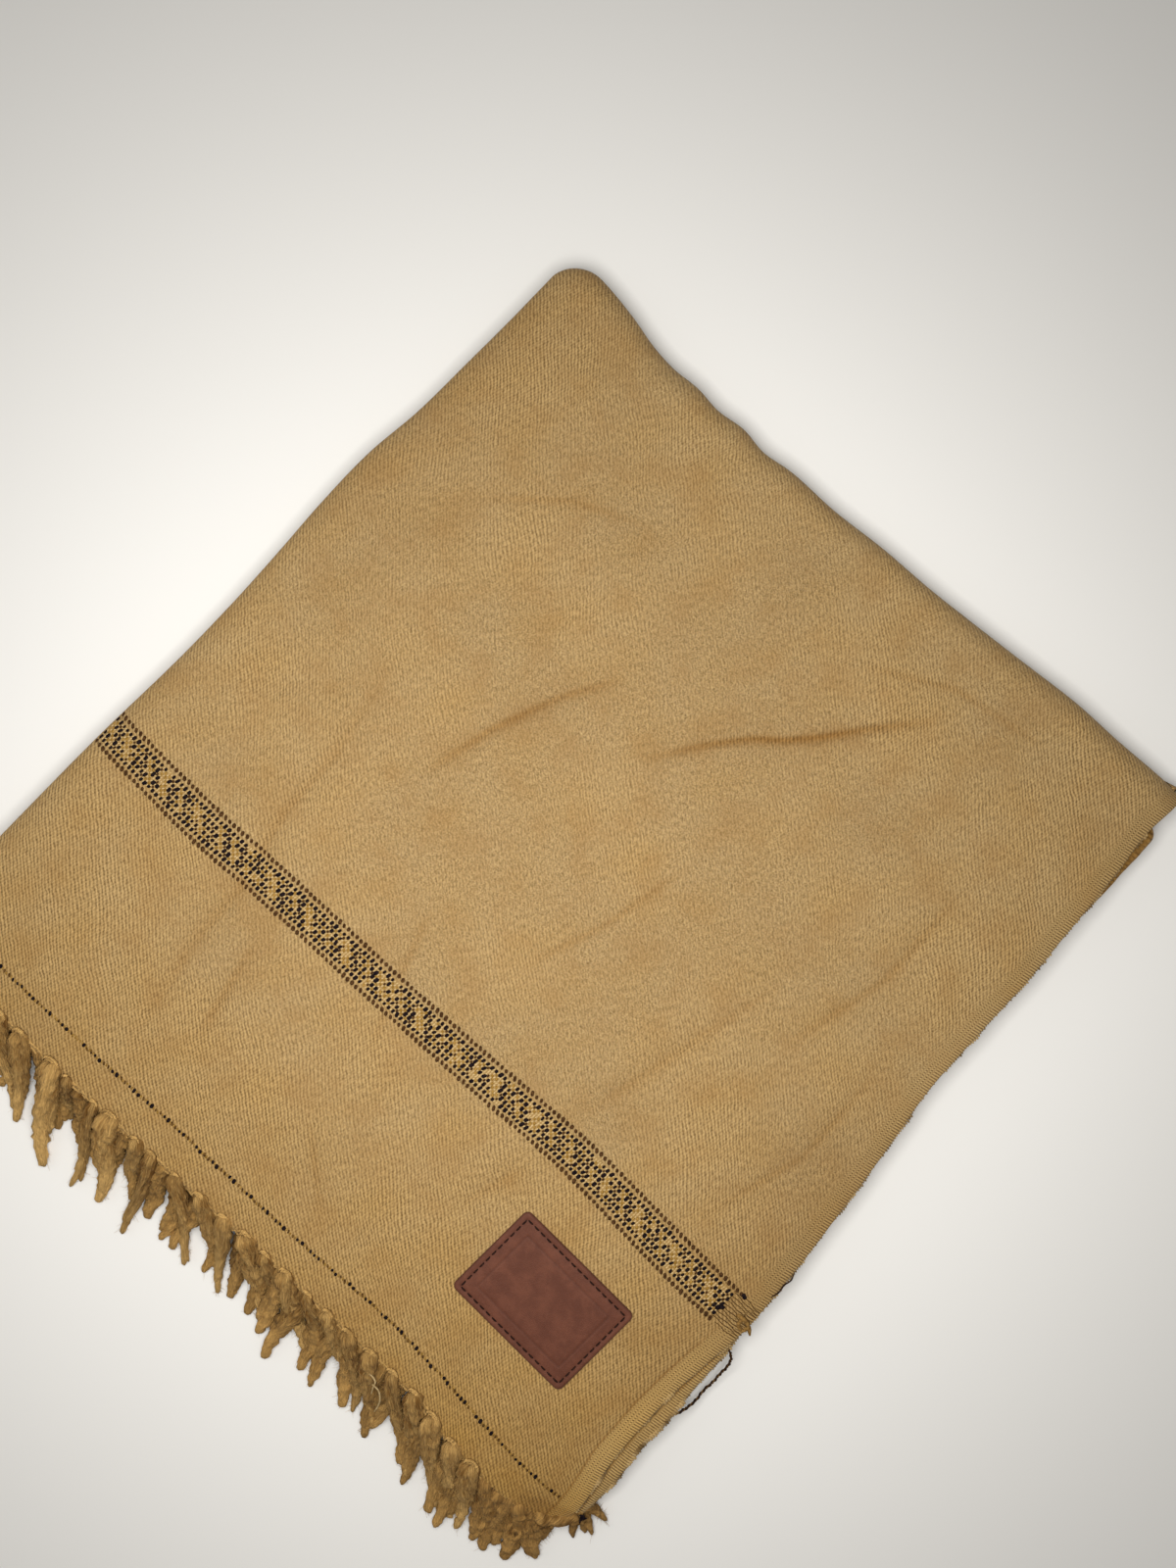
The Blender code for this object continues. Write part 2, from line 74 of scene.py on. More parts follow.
def curveThrough(rows):
    knots, places = np.array(rows, float).T
    slopes = np.gradient(places, knots)

    def place(along):
        along = np.clip(along, knots[0], knots[-1])
        k = np.clip(np.searchsorted(knots, along) - 1, 0, len(knots) - 2)
        span = knots[k + 1] - knots[k]
        u = (along - knots[k]) / span
        start = (1 + 2 * u) * (1 - u) ** 2 * places[k] + u * (1 - u) ** 2 * span * slopes[k]
        end = u * u * (3 - 2 * u) * places[k + 1] + u * u * (u - 1) * span * slopes[k + 1]
        return start + end

    return place


def softNoise(seed, size, *coords):
    # A smooth wandering value of about -1 to 1: waves of mixed lengths and directions added up.
    chance = np.random.default_rng(seed)
    total = 0.0
    for k in range(7):
        step = chance.normal(size=len(coords))
        step = step / np.linalg.norm(step) * chance.uniform(0.6, 1.8) * 2 * math.pi / size
        total = total + np.sin(sum(s * c for s, c in zip(step, coords)) + chance.uniform(0, 2 * math.pi))
    return total / 3.2


def wobble(points, seed, size, amount):
    # The points moved a little, along each axis by its own wandering value.
    return points + amount * np.stack([softNoise(seed + k, size, *points.T) for k in range(3)], -1)


def distanceAlong(line):
    return np.concatenate(([0], np.cumsum(np.linalg.norm(np.diff(line, axis=0), axis=1))))


def smoothLine(knots, count):
    # A smooth line through places, x, y, z and any more columns, at even steps, and the distance along it.
    run = distanceAlong(knots[:, :3])
    even = np.linspace(0, run[-1], count)
    return np.stack([curveThrough(np.column_stack((run, column)))(even) for column in knots.T], -1), even


cloth = {
    "width": 412.0,
    "length": 450.0,
    "lowEnd": -203.0,  # y of the fringed end at the selvedge
    "wall": 1.8,
    "stackHeight": 23.0,
    "domeRise": 2.5,
    "leftFold": (  # (y, x)
        (-210, -207.8), (-148, -208.2), (-87, -208.7), (-25, -207.7), (6, -208.4), (37, -210.1),
        (67, -212.2), (99, -212.9), (129, -210.4), (161, -210.1), (191, -210.0), (222, -210.5),
        (235, -210.5),
    ),
    "crossFold": (  # (x, y)
        (-210.5, 236.0), (-183, 234.9), (-169, 233.2), (-154, 230.5), (-140, 229.7), (-125, 231.2),
        (-111, 230.5), (-96, 232.8), (-82, 231.7), (-68, 234.2), (-39, 235.8), (-10, 239.4), (19, 241.6),
        (47, 244.9), (77, 248.8), (105, 252.5), (134, 254.1), (163, 256.6), (173, 257.2),
    ),
    "selvedge": (  # (y, x)
        (-203, 214.0), (-180, 209.0), (-155, 202.8), (-119, 200.0), (-89, 201.1), (-65, 202.6),
        (-30, 199.5), (4, 195.0), (38, 190.0), (73, 183.9), (107, 181.9), (142, 180.4), (176, 177.3),
        (211, 173.8), (230, 171.3), (257.2, 173.0),
    ),
    "fringedEnd": (  # (x, y)
        (-207.8, -210.0), (-143, -210.0), (-48, -206.0), (20, -201.6), (87, -199.6), (115, -198.6),
        (143, -202.5), (173, -203.5), (214, -203.0),
    ),
    # (at the selvedge, at the cross fold, radius)
    "corners": ((False, False, 14.0), (True, False, 20.0), (True, True, 8.0), (False, True, 18.0)),
    # How the cloth rounds off towards the folds: (width, fall)
    "leftRound": (16.0, 6.0),
    "crossRound": (14.0, 11.5),
    "apexRadius": 18.0,
    # How it turns under each fold, row by row: (inward, down)
    "leftTurn": ((0.7, 2.4), (2.4, 4.6), (5.0, 5.6)),
    "crossTurn": ((0.4, 2.6), (1.8, 5.0), (4.2, 6.6)),
    "turnFade": 24.0,
    "turnLeast": 0.15,
    # How it sinks towards its free edges: (fall, reach)
    "selvedgeFall": (2.5, 18.0),
    "fringeFall": (3.5, 22.0),
    "lowCornerFall": (8.0, 30.0),
    "ripples": ((3, 62, 0.28), (4, 24, 0.12)),  # (seed, size, height)
}

# Troughs that folding has pressed into the cloth: (depth, half width, how much painted shade darkens the
# trough, route)
creases = (
    (2.0, 6.5, 1.0, ((-21, 87), (-4, 114), (9, 131), (20, 141), (31, 154), (43, 171), (63, 197))),
    (1.6, 7.0, 0.75, ((-88, 11), (-80, 48), (-68, 81), (-52, 110))),
    (1.6, 9.0, 0.35, ((-134, 41), (-122, -10), (-120, -47), (-110, -83), (-107, -118), (-94, -176))),
    (1.2, 8.0, 0.3, ((76, -50), (86, -2), (99, 62))),
    (1.1, 8.0, 0.3, ((66, -118), (76, -83))),
    (1.0, 8.0, 0.45, ((-75, -150), (-88, -99))),
    (2.0, 12.0, 0.15, ((-176, -18), (-140, 17))),
    (0.5, 5.0, 0.4, ((8, -20), (22, 22), (30, 70))),
    (0.6, 6.0, 0.4, ((120, 40), (132, 96), (128, 150))),
    (0.5, 4.5, 0.4, ((-40, -30), (-30, -58), (-14, -96))),
    (0.5, 5.0, 0.4, ((-160, 120), (-128, 150), (-92, 168))),
    (0.4, 4.0, 0.4, ((20, 190), (60, 214), (110, 224))),
    (0.5, 5.0, 0.4, ((150, -40), (163, 10), (160, 60))),
    (0.4, 4.0, 0.4, ((-10, -140), (24, -168))),
)

leftX, crossY = curveThrough(cloth["leftFold"]), curveThrough(cloth["crossFold"])
selvedgeX, fringedY = curveThrough(cloth["selvedge"]), curveThrough(cloth["fringedEnd"])


def sidePoints(share, rows, place, swapped):
    along = mix(rows[0][0], rows[-1][0], share)
    across = place(along)
    return np.stack((across, along) if swapped else (along, across), axis=-1)


def plan(s, t):
    left = sidePoints(t, cloth["leftFold"], leftX, True)
    right = sidePoints(t, cloth["selvedge"], selvedgeX, True)
    low = sidePoints(s, cloth["fringedEnd"], fringedY, False)
    high = sidePoints(s, cloth["crossFold"], crossY, False)
    s, t = s[..., None], t[..., None]
    ends = [sidePoints(np.array(end), rows, place, False) for rows, place in
            ((cloth["fringedEnd"], fringedY), (cloth["crossFold"], crossY)) for end in (0.0, 1.0)]
    bilinear = mix(mix(ends[0], ends[1], s), mix(ends[2], ends[3], s), t)
    return mix(left, right, s) + mix(low, high, t) - bilinear


def roundCorners(fromLeft, fromEnd):
    fromLeft, fromEnd = fromLeft.copy(), fromEnd.copy()
    width, length = cloth["width"], cloth["length"]
    for atSelvedge, atCrossFold, radius in cloth["corners"]:
        across = width - fromLeft if atSelvedge else fromLeft
        along = length - fromEnd if atCrossFold else fromEnd
        a, b = np.maximum(1 - across / radius, 0), np.maximum(1 - along / radius, 0)
        inside = (a > 0) & (b > 0)
        across = np.where(inside, radius * (1 - a * np.sqrt(1 - b * b / 2)), across)
        along = np.where(inside, radius * (1 - b * np.sqrt(1 - a * a / 2)), along)
        fromLeft = width - across if atSelvedge else across
        fromEnd = length - along if atCrossFold else along
    return fromLeft, fromEnd


def creaseParts(x, y):
    # How deep the cloth is pressed, and how much painted shade darkens each trough, most near its sharp
    # bottom.
    total, troughShade = np.zeros_like(x), np.zeros_like(x)
    for depth, halfWidth, shadeStrength, route in creases:
        route = np.array(route, float)
        lengths = np.hypot(*(route[1:] - route[:-1]).T)
        nearest, share, side = np.full_like(x, np.inf), np.zeros_like(x), np.zeros_like(x)
        for k, length in enumerate(lengths):
            along = (route[k + 1] - route[k]) / length
            u = np.clip((x - route[k, 0]) * along[0] + (y - route[k, 1]) * along[1], 0, length)
            a, b = x - route[k, 0] - u * along[0], y - route[k, 1] - u * along[1]
            distance = np.hypot(a, b)
            closer = distance < nearest
            share = np.where(closer, (lengths[:k].sum() + u) / lengths.sum(), share)
            side = np.where(closer, np.sign(along[0] * b - along[1] * a), side)
            nearest = np.minimum(nearest, distance)
        strength = np.sin(math.pi * np.clip(share, 0.0, 1.0)) ** 0.55
        strength = strength * bell(np.maximum(nearest - 9, 0), 9)
        wide = bell(nearest, halfWidth)
        coreWidth = np.where(side > 0, 1.5, 0.42 * halfWidth)
        core = bell(nearest, coreWidth)
        lip = bell(nearest - 0.85 * halfWidth, 0.5 * halfWidth) * np.clip(side, 0, 1)
        total += depth * strength * (0.55 * wide + 0.35 * core - 0.28 * lip)
        troughShade += shadeStrength * strength * (0.8 * core + 0.16 * wide)
    return total, troughShade


def creaseDepth(x, y):
    return creaseParts(x, y)[0]


def plainHeight(x, y):
    # The cloth's height without its creases, and how far from the folds a point is, as 0 to 1.
    left, cross = x - leftX(y), crossY(x) - y
    free, end = selvedgeX(y) - x, y - fringedY(x)
    across, along = np.clip(left / cloth["width"], 0, 1), np.clip(end / cloth["length"], 0, 1)
    height = cloth["stackHeight"] + cloth["domeRise"] * np.sqrt(
        np.sin(math.pi * across) * np.sin(math.pi * along))
    height = height - cloth["selvedgeFall"][0] * np.exp(-np.maximum(free, 0) / cloth["selvedgeFall"][1])
    height = height - cloth["fringeFall"][0] * np.exp(-np.maximum(end, 0) / cloth["fringeFall"][1])
    lowFall, lowReach = cloth["lowCornerFall"]
    height = height - lowFall * bell(np.hypot(free, end), lowReach)
    radius = cloth["apexRadius"]
    a, b = np.maximum(1 - left / radius, 0), np.maximum(1 - cross / radius, 0)
    inward = radius * (1 - np.minimum(np.hypot(a, b), 1))
    toCross = smoothStep(b / np.maximum(a + b, 1e-9))
    width = mix(cloth["leftRound"][0], cloth["crossRound"][0], toCross)
    fall = mix(cloth["leftRound"][1], cloth["crossRound"][1], toCross)
    roundShare = np.clip(1 - inward / width, 0, 1)
    return height - fall * (1 - np.sqrt(1 - roundShare**2)), smoothStep(inward / width)


def plainLevel(x, y):
    return plainHeight(x, y)[0]


def clothHeight(x, y):
    height, fade = plainHeight(x, y)
    ripple = sum(rise * softNoise(seed, size, x, y) for seed, size, rise in cloth["ripples"])
    return height + (ripple - creaseDepth(x, y)) * fade


def surfaceAt(x, y):
    # Points of the cloth's top there, with the frame of each: along x, along y and outward.
    step = 0.8
    z = clothHeight(x, y)
    dx = (clothHeight(x + step, y) - clothHeight(x - step, y)) / (2 * step)
    dy = (clothHeight(x, y + step) - clothHeight(x, y - step)) / (2 * step)
    one, none = np.ones_like(z), np.zeros_like(z)
    alongX, alongY = unit(np.stack((one, none, dx), -1)), unit(np.stack((none, one, dy), -1))
    return np.stack((x, y, z), -1), alongX, alongY, unit(np.cross(alongX, alongY))


def addPiece(name, points, faces, finish, slot="wool_twill", replaces=(), **numbers):
    # The numbers are what its material reads: one value for each point, or one for the whole piece.
    mesh = bpy.data.meshes.new(name)
    mesh.from_pydata(toFrame(points).tolist(), [], [tuple(map(int, face)) for face in faces])
    mesh.validate()
    mesh.shade_smooth()
    for label, values in numbers.items():
        values = np.asarray(values, float)
        if values.ndim == 0:
            values = np.full(len(points), values)
        kind, key = ("FLOAT_VECTOR", "vector") if values.ndim == 2 else ("FLOAT", "value")
        mesh.attributes.new(label, kind, "POINT").data.foreach_set(key, values.ravel())
    mesh.materials.append(finish)
    piece = bpy.data.objects.new(name, mesh)
    bpy.context.scene.collection.objects.link(piece)
    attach(piece, "root")
    if replaces:
        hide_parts(*replaces)
    return piece


def gridIndex(columns, rows):
    return np.arange(columns * rows).reshape(columns, rows)


def gridFaces(columns, rows):
    index = gridIndex(columns, rows)
    corners = (index[:-1, :-1], index[1:, :-1], index[1:, 1:], index[:-1, 1:])
    return np.stack(corners, axis=-1).reshape(-1, 4)


def gridRim(columns, rows):
    index = gridIndex(columns, rows)
    return np.concatenate((index[:, 0], index[-1, 1:], index[-2::-1, -1], index[0, -2:0:-1]))


def bandFaces(upper, lower):
    # A closed band of faces between two loops of points.
    after = [(k + 1) % len(upper) for k in range(len(upper))]
    return [(upper[k], lower[k], lower[n], upper[n]) for k, n in enumerate(after)]


def closedSheet(grid, wall, coarse=8, wrapRows=5, inset=3.0):
    # A sheet of cloth: a fine outer face, a rounded rim and a coarser inner face.
    # Gives points, faces, and for each point the outer point that it comes from.
    columns, rows = grid.shape[:2]
    across, along = np.gradient(grid, axis=0), np.gradient(grid, axis=1)
    normals = np.cross(across, along)
    weak = np.linalg.norm(normals, axis=-1) < 1e-6
    normals[weak] = (0, 0, -1)
    normals = unit(normals)
    flat, flatNormals = grid.reshape(-1, 3), normals.reshape(-1, 3)
    rim = gridRim(columns, rows)
    tangent = np.roll(flat[rim], -1, axis=0) - np.roll(flat[rim], 1, axis=0)
    out = unit(np.cross(tangent, flatNormals[rim]))
    points, source = [flat], [np.arange(len(flat))]
    faces = [tuple(face) for face in gridFaces(columns, rows)]
    upper, made, radius = rim, len(flat), wall / 2
    for row in range(1, wrapRows + 1):
        angle = math.pi * row / wrapRows
        middle = flat[rim] - flatNormals[rim] * radius
        points.append(middle + flatNormals[rim] * radius * math.cos(angle) + out * radius * math.sin(angle))
        source.append(rim)
        lower = made + np.arange(len(rim))
        faces += bandFaces(upper, lower)
        upper, made = lower, made + len(rim)
    pickColumns = np.unique(np.append(np.arange(0, columns - coarse // 2, coarse), columns - 1))
    pickRows = np.unique(np.append(np.arange(0, rows - coarse // 2, coarse), rows - 1))
    picked = gridIndex(columns, rows)[np.ix_(pickColumns, pickRows)].ravel()
    inner = flat[picked] - flatNormals[picked] * wall
    innerRim = gridRim(len(pickColumns), len(pickRows))
    place = {int(point): k for k, point in enumerate(rim)}
    onRim = np.array([place[int(picked[k])] for k in innerRim])
    inner[innerRim] -= out[onRim] * inset
    points.append(inner)
    source.append(picked)
    faces += [tuple(face[::-1] + made) for face in gridFaces(len(pickColumns), len(pickRows))]
    for k, here in enumerate(onRim):
        after = onRim[(k + 1) % len(onRim)] or len(rim)
        fine = [upper[n % len(rim)] for n in range(here, after + 1)]
        faces.append((*fine[::-1], made + innerRim[k], made + innerRim[(k + 1) % len(innerRim)]))
    return np.concatenate(points), faces, np.concatenate(source)


def tubes(routes, radii, sides):
    # Closed tubes along many routes at once: routes (n, k, 3) and radii (n, k),
    # or (n, k, 2) for half the width and half the height.
    count, stations = routes.shape[:2]
    radii = np.asarray(radii, float)
    if radii.ndim == 2:
        radii = np.stack((radii, radii), -1)
    along = unit(np.gradient(routes, axis=1))
    level = unit(np.cross(along, np.broadcast_to((0.0, 0.0, 1.0), along.shape)) + (1e-6, 0, 0))
    upward = np.cross(level, along)
    angle = np.arange(sides) * 2 * math.pi / sides
    ring = (level[:, :, None] * (np.cos(angle)[:, None] * radii[:, :, None, :1])
            + upward[:, :, None] * (np.sin(angle)[:, None] * radii[:, :, None, 1:]))
    points = (routes[:, :, None] + ring).reshape(-1, 3)
    index = np.arange(count * stations * sides).reshape(count, stations, sides)
    after = np.roll(index, -1, axis=2)
    walls = np.stack((index[:, :-1], index[:, 1:], after[:, 1:], after[:, :-1]), -1).reshape(-1, 4)
    faces = [tuple(face) for face in walls]
    faces += [tuple(loop) for loop in index[:, 0]] + [tuple(loop[::-1]) for loop in index[:, -1]]
    return points, faces


def grains(middles, alongs, acrosses, ups, halfSizes):
    # Small rounded floats of yarn, all at once: half sizes (n, 3) along, across and up.
    ringAngle = np.arange(6) * math.pi / 3
    shape = [(-1, 0, 0)]
    for level in (-0.55, 0.55):
        reach = math.sqrt(1 - level * level)
        shape += [(level, reach * math.cos(a), reach * math.sin(a)) for a in ringAngle]
    shape.append((1, 0, 0))
    shape = np.array(shape)
    sized = shape[None] * halfSizes[:, None]
    points = (middles[:, None] + sized[..., :1] * alongs[:, None] + sized[..., 1:2] * acrosses[:, None]
              + sized[..., 2:] * ups[:, None])
    pattern = [(0, 1 + (k + 1) % 6, 1 + k) for k in range(6)]
    pattern += [(1 + k, 1 + (k + 1) % 6, 7 + (k + 1) % 6, 7 + k) for k in range(6)]
    pattern += [(13, 7 + k, 7 + (k + 1) % 6) for k in range(6)]
    faces = [tuple(n + 14 * k for n in face) for k in range(len(middles)) for face in pattern]
    return points.reshape(-1, 3), faces


def setInput(tree, socket, value):
    if isinstance(value, bpy.types.NodeSocket):
        tree.links.new(value, socket)
    else:
        socket.default_value = value


def addNode(tree, kind, inputs=None, **settings):
    node = tree.nodes.new("ShaderNode" + kind)
    for name, value in settings.items():
        setattr(node, name, value)
    for key, value in (inputs or {}).items():
        setInput(tree, node.inputs[key], value)
    return node


def calc(tree, operation, *values, clamp=False):
    return addNode(tree, "Math", dict(enumerate(values)), operation=operation, use_clamp=clamp).outputs[0]


def times(tree, first, second, clamp=False):
    return calc(tree, "MULTIPLY", first, second, clamp=clamp)


def scaled(tree, value, factor, offset, clamp=False):
    return calc(tree, "MULTIPLY_ADD", value, factor, offset, clamp=clamp)


def wave(tree, value, pitch):
    return calc(tree, "COSINE", times(tree, value, 2 * math.pi / pitch))


def ramp(tree, value, low, high, toLow=0.0, toHigh=1.0):
    inputs = {"Value": value, "From Min": low, "From Max": high, "To Min": toLow, "To Max": toHigh}
    return addNode(tree, "MapRange", inputs, interpolation_type="SMOOTHSTEP").outputs[0]


def mixColour(tree, share, first, second, blend="MIX"):
    first, second = ((*colour, 1.0) if isinstance(colour, tuple) else colour for colour in (first, second))
    inputs = {0: share, 6: first, 7: second}
    return addNode(tree, "Mix", inputs, data_type="RGBA", blend_type=blend).outputs[2]


def mixValue(tree, share, first, second):
    return addNode(tree, "Mix", {0: share, 2: first, 3: second}).outputs[0]


def noise(tree, place, scale, detail=2.0, roughness=0.5):
    inputs = {"Vector": place, "Scale": scale, "Detail": detail, "Roughness": roughness}
    return addNode(tree, "TexNoise", inputs).outputs["Fac"]


def newGroup(name, numbers, results):
    # A group that is given a place and some numbers, and gives numbers back.
    tree = bpy.data.node_groups.new(name, "ShaderNodeTree")
    tree.interface.new_socket("Place", in_out="INPUT", socket_type="NodeSocketVector")
    for labels, side in ((numbers, "INPUT"), (results, "OUTPUT")):
        for label in labels:
            tree.interface.new_socket(label, in_out=side, socket_type="NodeSocketFloat")
    return tree, tree.nodes.new("NodeGroupInput").outputs, tree.nodes.new("NodeGroupOutput").inputs


def useGroup(tree, group, inputs):
    node = tree.nodes.new("ShaderNodeGroup")
    node.node_tree = group
    for key, value in inputs.items():
        setInput(tree, node.inputs[key], value)
    return node.outputs


def pieceNumber(tree, name):
    return addNode(tree, "Attribute", attribute_name=name).outputs["Fac"]


def piecePlace(tree):
    return addNode(tree, "Attribute", attribute_name="clothPlace").outputs["Vector"]


def newMaterial(name, sockets):
    material = bpy.data.materials.new(name)
    material.use_nodes = True
    shader = material.node_tree.nodes["Principled BSDF"]
    for key, value in sockets.items():
        shader.inputs[key].default_value = value
    return material, material.node_tree, shader


def finishSurface(tree, shader, colour, height, depth, strength):
    bump = addNode(tree, "Bump", {"Height": height, "Distance": depth * mm, "Strength": strength})
    tree.links.new(colour, shader.inputs["Base Color"])
    tree.links.new(bump.outputs[0], shader.inputs["Normal"])


def makeTwillGroup():
    # Place is in millimetres of cloth: from the left fold, and from the fringed end.
    tree, given, result = newGroup("twill weave", ("Pitch", "Nap"), ("Height",))
    place = given["Place"]
    parts = addNode(tree, "SeparateXYZ", {0: place}).outputs
    # u runs across the ribs, which lie at 41 degrees and wander a little, and v along them.
    near = scaled(tree, noise(tree, place, 0.2), 1.5, -0.75)
    far = scaled(tree, noise(tree, place, 0.016, 1.0), 8.0, -4.0)
    u = scaled(tree, parts["X"], 0.663, times(tree, parts["Y"], 0.749))
    u = calc(tree, "ADD", u, calc(tree, "ADD", near, far))
    v = scaled(tree, parts["X"], 0.749, times(tree, parts["Y"], -0.663))
    turns = calc(tree, "DIVIDE", u, given["Pitch"])
    rib = calc(tree, "POWER", scaled(tree, wave(tree, turns, 1.0), 0.5, 0.5), 0.8)
    beat = wave(tree, scaled(tree, turns, 0.5, times(tree, v, 1 / 1.5)), 1.0)
    # Single floats of yarn stand out unevenly along each rib.
    skew = addNode(tree, "CombineXYZ", {"X": times(tree, u, 0.95), "Y": times(tree, v, 0.42)})
    floats = ramp(tree, noise(tree, skew.outputs[0], 1.0, 1.5, 0.6), 0.3, 0.7)
    threads = scaled(tree, beat, 0.1, scaled(tree, rib, 0.55, 0.12))
    threads = scaled(tree, floats, 0.38, threads, clamp=True)
    fuzz = ramp(tree, noise(tree, place, 1.3, 3.0, 0.7), 0.32, 0.68)
    fuzz = scaled(tree, fuzz, 0.62, times(tree, floats, 0.38))
    tree.links.new(mixValue(tree, times(tree, given["Nap"], 0.72), threads, fuzz), result["Height"])
    return tree


def makeSelvedgeGroup():
    # The woven edge: rows of small beads, then short ribs out to the rim.
    tree, given, result = newGroup("woven selvedge", ("Rim",), ("Height", "Mask", "Line"))
    place = given["Place"]
    parts = addNode(tree, "SeparateXYZ", {0: place}).outputs
    drift = scaled(tree, noise(tree, place, 0.05), 1.6, -0.8)
    fromRim = calc(tree, "SUBTRACT", given["Rim"], parts["X"])
    along = wave(tree, calc(tree, "ADD", parts["Y"], times(tree, fromRim, 0.18)), 1.3)
    fromRim = calc(tree, "ADD", fromRim, drift)
    across = wave(tree, fromRim, 1.9)
    beads = scaled(tree, along, 0.22, scaled(tree, times(tree, along, across), 0.34, 0.5))
    ribs = scaled(tree, along, 0.45, 0.5)
    height = mixValue(tree, ramp(tree, fromRim, 3.6, 5.0, 1.0, 0.0), beads, ribs)
    # The yarns of the edge are no more even than the rest.
    uneven = scaled(tree, noise(tree, place, 0.9, 2.0, 0.6), 0.5, -0.25)
    tree.links.new(scaled(tree, height, 0.95, uneven, clamp=True), result["Height"])
    tree.links.new(ramp(tree, fromRim, 7.5, 11.5, 1.0, 0.0), result["Mask"])
    # A thin line inside the selvedge, which the wool darkens as the painted shade of a groove.
    line = times(tree, ramp(tree, fromRim, 9.8, 10.6), ramp(tree, fromRim, 10.6, 11.8, 1.0, 0.0))
    tree.links.new(line, result["Line"])
    return tree


twillGroup = makeTwillGroup()
selvedgeGroup = makeSelvedgeGroup()

woolFinish = {
    "ridge": (0.466, 0.306, 0.128),
    "valley": (0.080, 0.040, 0.009),
    "mottle": (0.270, 0.148, 0.049),
    # Painted shade for the crease bottoms, the selvedge groove, the second selvedge and the fold end.
    "shadeTint": (0.64, 0.50, 0.32),
    "pale": (0.69, 0.520, 0.290),
    "edge": (0.68, 0.465, 0.185),
    # Deeper browns, partly the cloth's own tone and partly painted shade.
    "rich": (0.94, 0.81, 0.52),
    # Darker at the curled corner, and painted shade along the low selvedge and the left fold.
    "curlAndShade": (0.80, 0.75, 0.68),
    # The band's ground, partly its own colour and partly painted shade between the floats.
    "bandGroundAndShade": (0.330, 0.205, 0.072),
    "pitch": 1.7,
    "bump": 0.32,
    # How much of each colour is laid over the weave
    "fleckShare": 0.27,
    # More pale flecks where the nap is painted fuller round the lit middle.
    "napFleckShare": 0.2,
    "cloudShare": 0.34,
    "grainShare": 0.3,
    "edgeShare": 0.7,
    # Painted shade in the groove inside the low selvedge.
    "grooveShadeShare": 0.6,
    "bandShare": 0.8,
    # The tint of the darker copy that paints shade on the lower layers.
    "foldShadeTint": (1.0, 0.97, 0.92),
}


def makeWool(name, tone=1.0, nap=None):
    finish = woolFinish
    material, tree, shader = newMaterial(name, {
        "Roughness": 0.94, "Sheen Weight": 0.12, "Sheen Roughness": 0.45, "Specular IOR Level": 0.1,
        "Sheen Tint": (1.0, 0.84, 0.62, 1.0),
    })
    place, lowEdge = piecePlace(tree), pieceNumber(tree, "lowEdge")
    nap = pieceNumber(tree, "nap") if nap is None else nap
    weave = useGroup(tree, twillGroup, {"Place": place, "Pitch": finish["pitch"], "Nap": nap})
    edge = useGroup(tree, selvedgeGroup, {"Place": place, "Rim": cloth["width"]})
    height = mixValue(tree, edge["Mask"], weave["Height"], edge["Height"])
    colour = mixColour(tree, height, finish["valley"], finish["ridge"])
    # Pale fibre ends stand up in the nap, over clouds and grains of a deeper colour; more of them are
    # painted round the lit middle, a painted pool of light.
    fleck = ramp(tree, noise(tree, place, 1.9, 2.0, 0.7), 0.44, 0.74)
    fleck = times(tree, fleck, scaled(tree, nap, finish["napFleckShare"], finish["fleckShare"]))
    cloud = ramp(tree, noise(tree, place, 0.045, 3.0, 0.6), 0.42, 0.72)
    grain = ramp(tree, noise(tree, place, 0.75, 3.0, 0.75), 0.5, 0.72)
    edgeLift = times(tree, edge["Mask"], times(tree, edge["Height"], finish["edgeShare"]))
    layers = (
        (fleck, "pale"),
        (times(tree, cloud, finish["cloudShare"]), "mottle"),
        (times(tree, grain, finish["grainShare"]), "mottle"),
        (times(tree, edgeLift, scaled(tree, lowEdge, 0.75, 0.25)), "edge"),
    )
    for share, layer in layers:
        colour = mixColour(tree, share, colour, finish[layer])
    # Painted shade in a thin groove inside the low part of the selvedge.
    line = times(tree, edge["Line"], times(tree, lowEdge, finish["grooveShadeShare"]))
    inBand = times(tree, pieceNumber(tree, "band"), finish["bandShare"], clamp=True)
    colour = mixColour(tree, line, colour, finish["shadeTint"], "MULTIPLY")
    # Painted shade in the crease bottoms, on the second selvedge under the top layer's edge and over the
    # fold end.
    colour = mixColour(tree, pieceNumber(tree, "pressed"), colour, finish["shadeTint"], "MULTIPLY")
    # The band's ground is darker: partly its own colour, partly painted shade between the floats.
    colour = mixColour(tree, inBand, colour, finish["bandGroundAndShade"])
    # Deeper browns: partly the cloth's own tone and the curled corner, partly painted shade.
    for label in ("rich", "curlAndShade"):
        colour = mixColour(tree, pieceNumber(tree, label), colour, finish[label], "MULTIPLY")
    # A darker, warmer copy of the twill paints shade on the layers that lie under the top one.
    if tone != 1.0:
        colour = mixColour(tree, 1.0, colour, tuple(tone * part for part in finish["foldShadeTint"]), "MULTIPLY")
    finishSurface(tree, shader, colour, height, finish["bump"], 0.9)
    return material


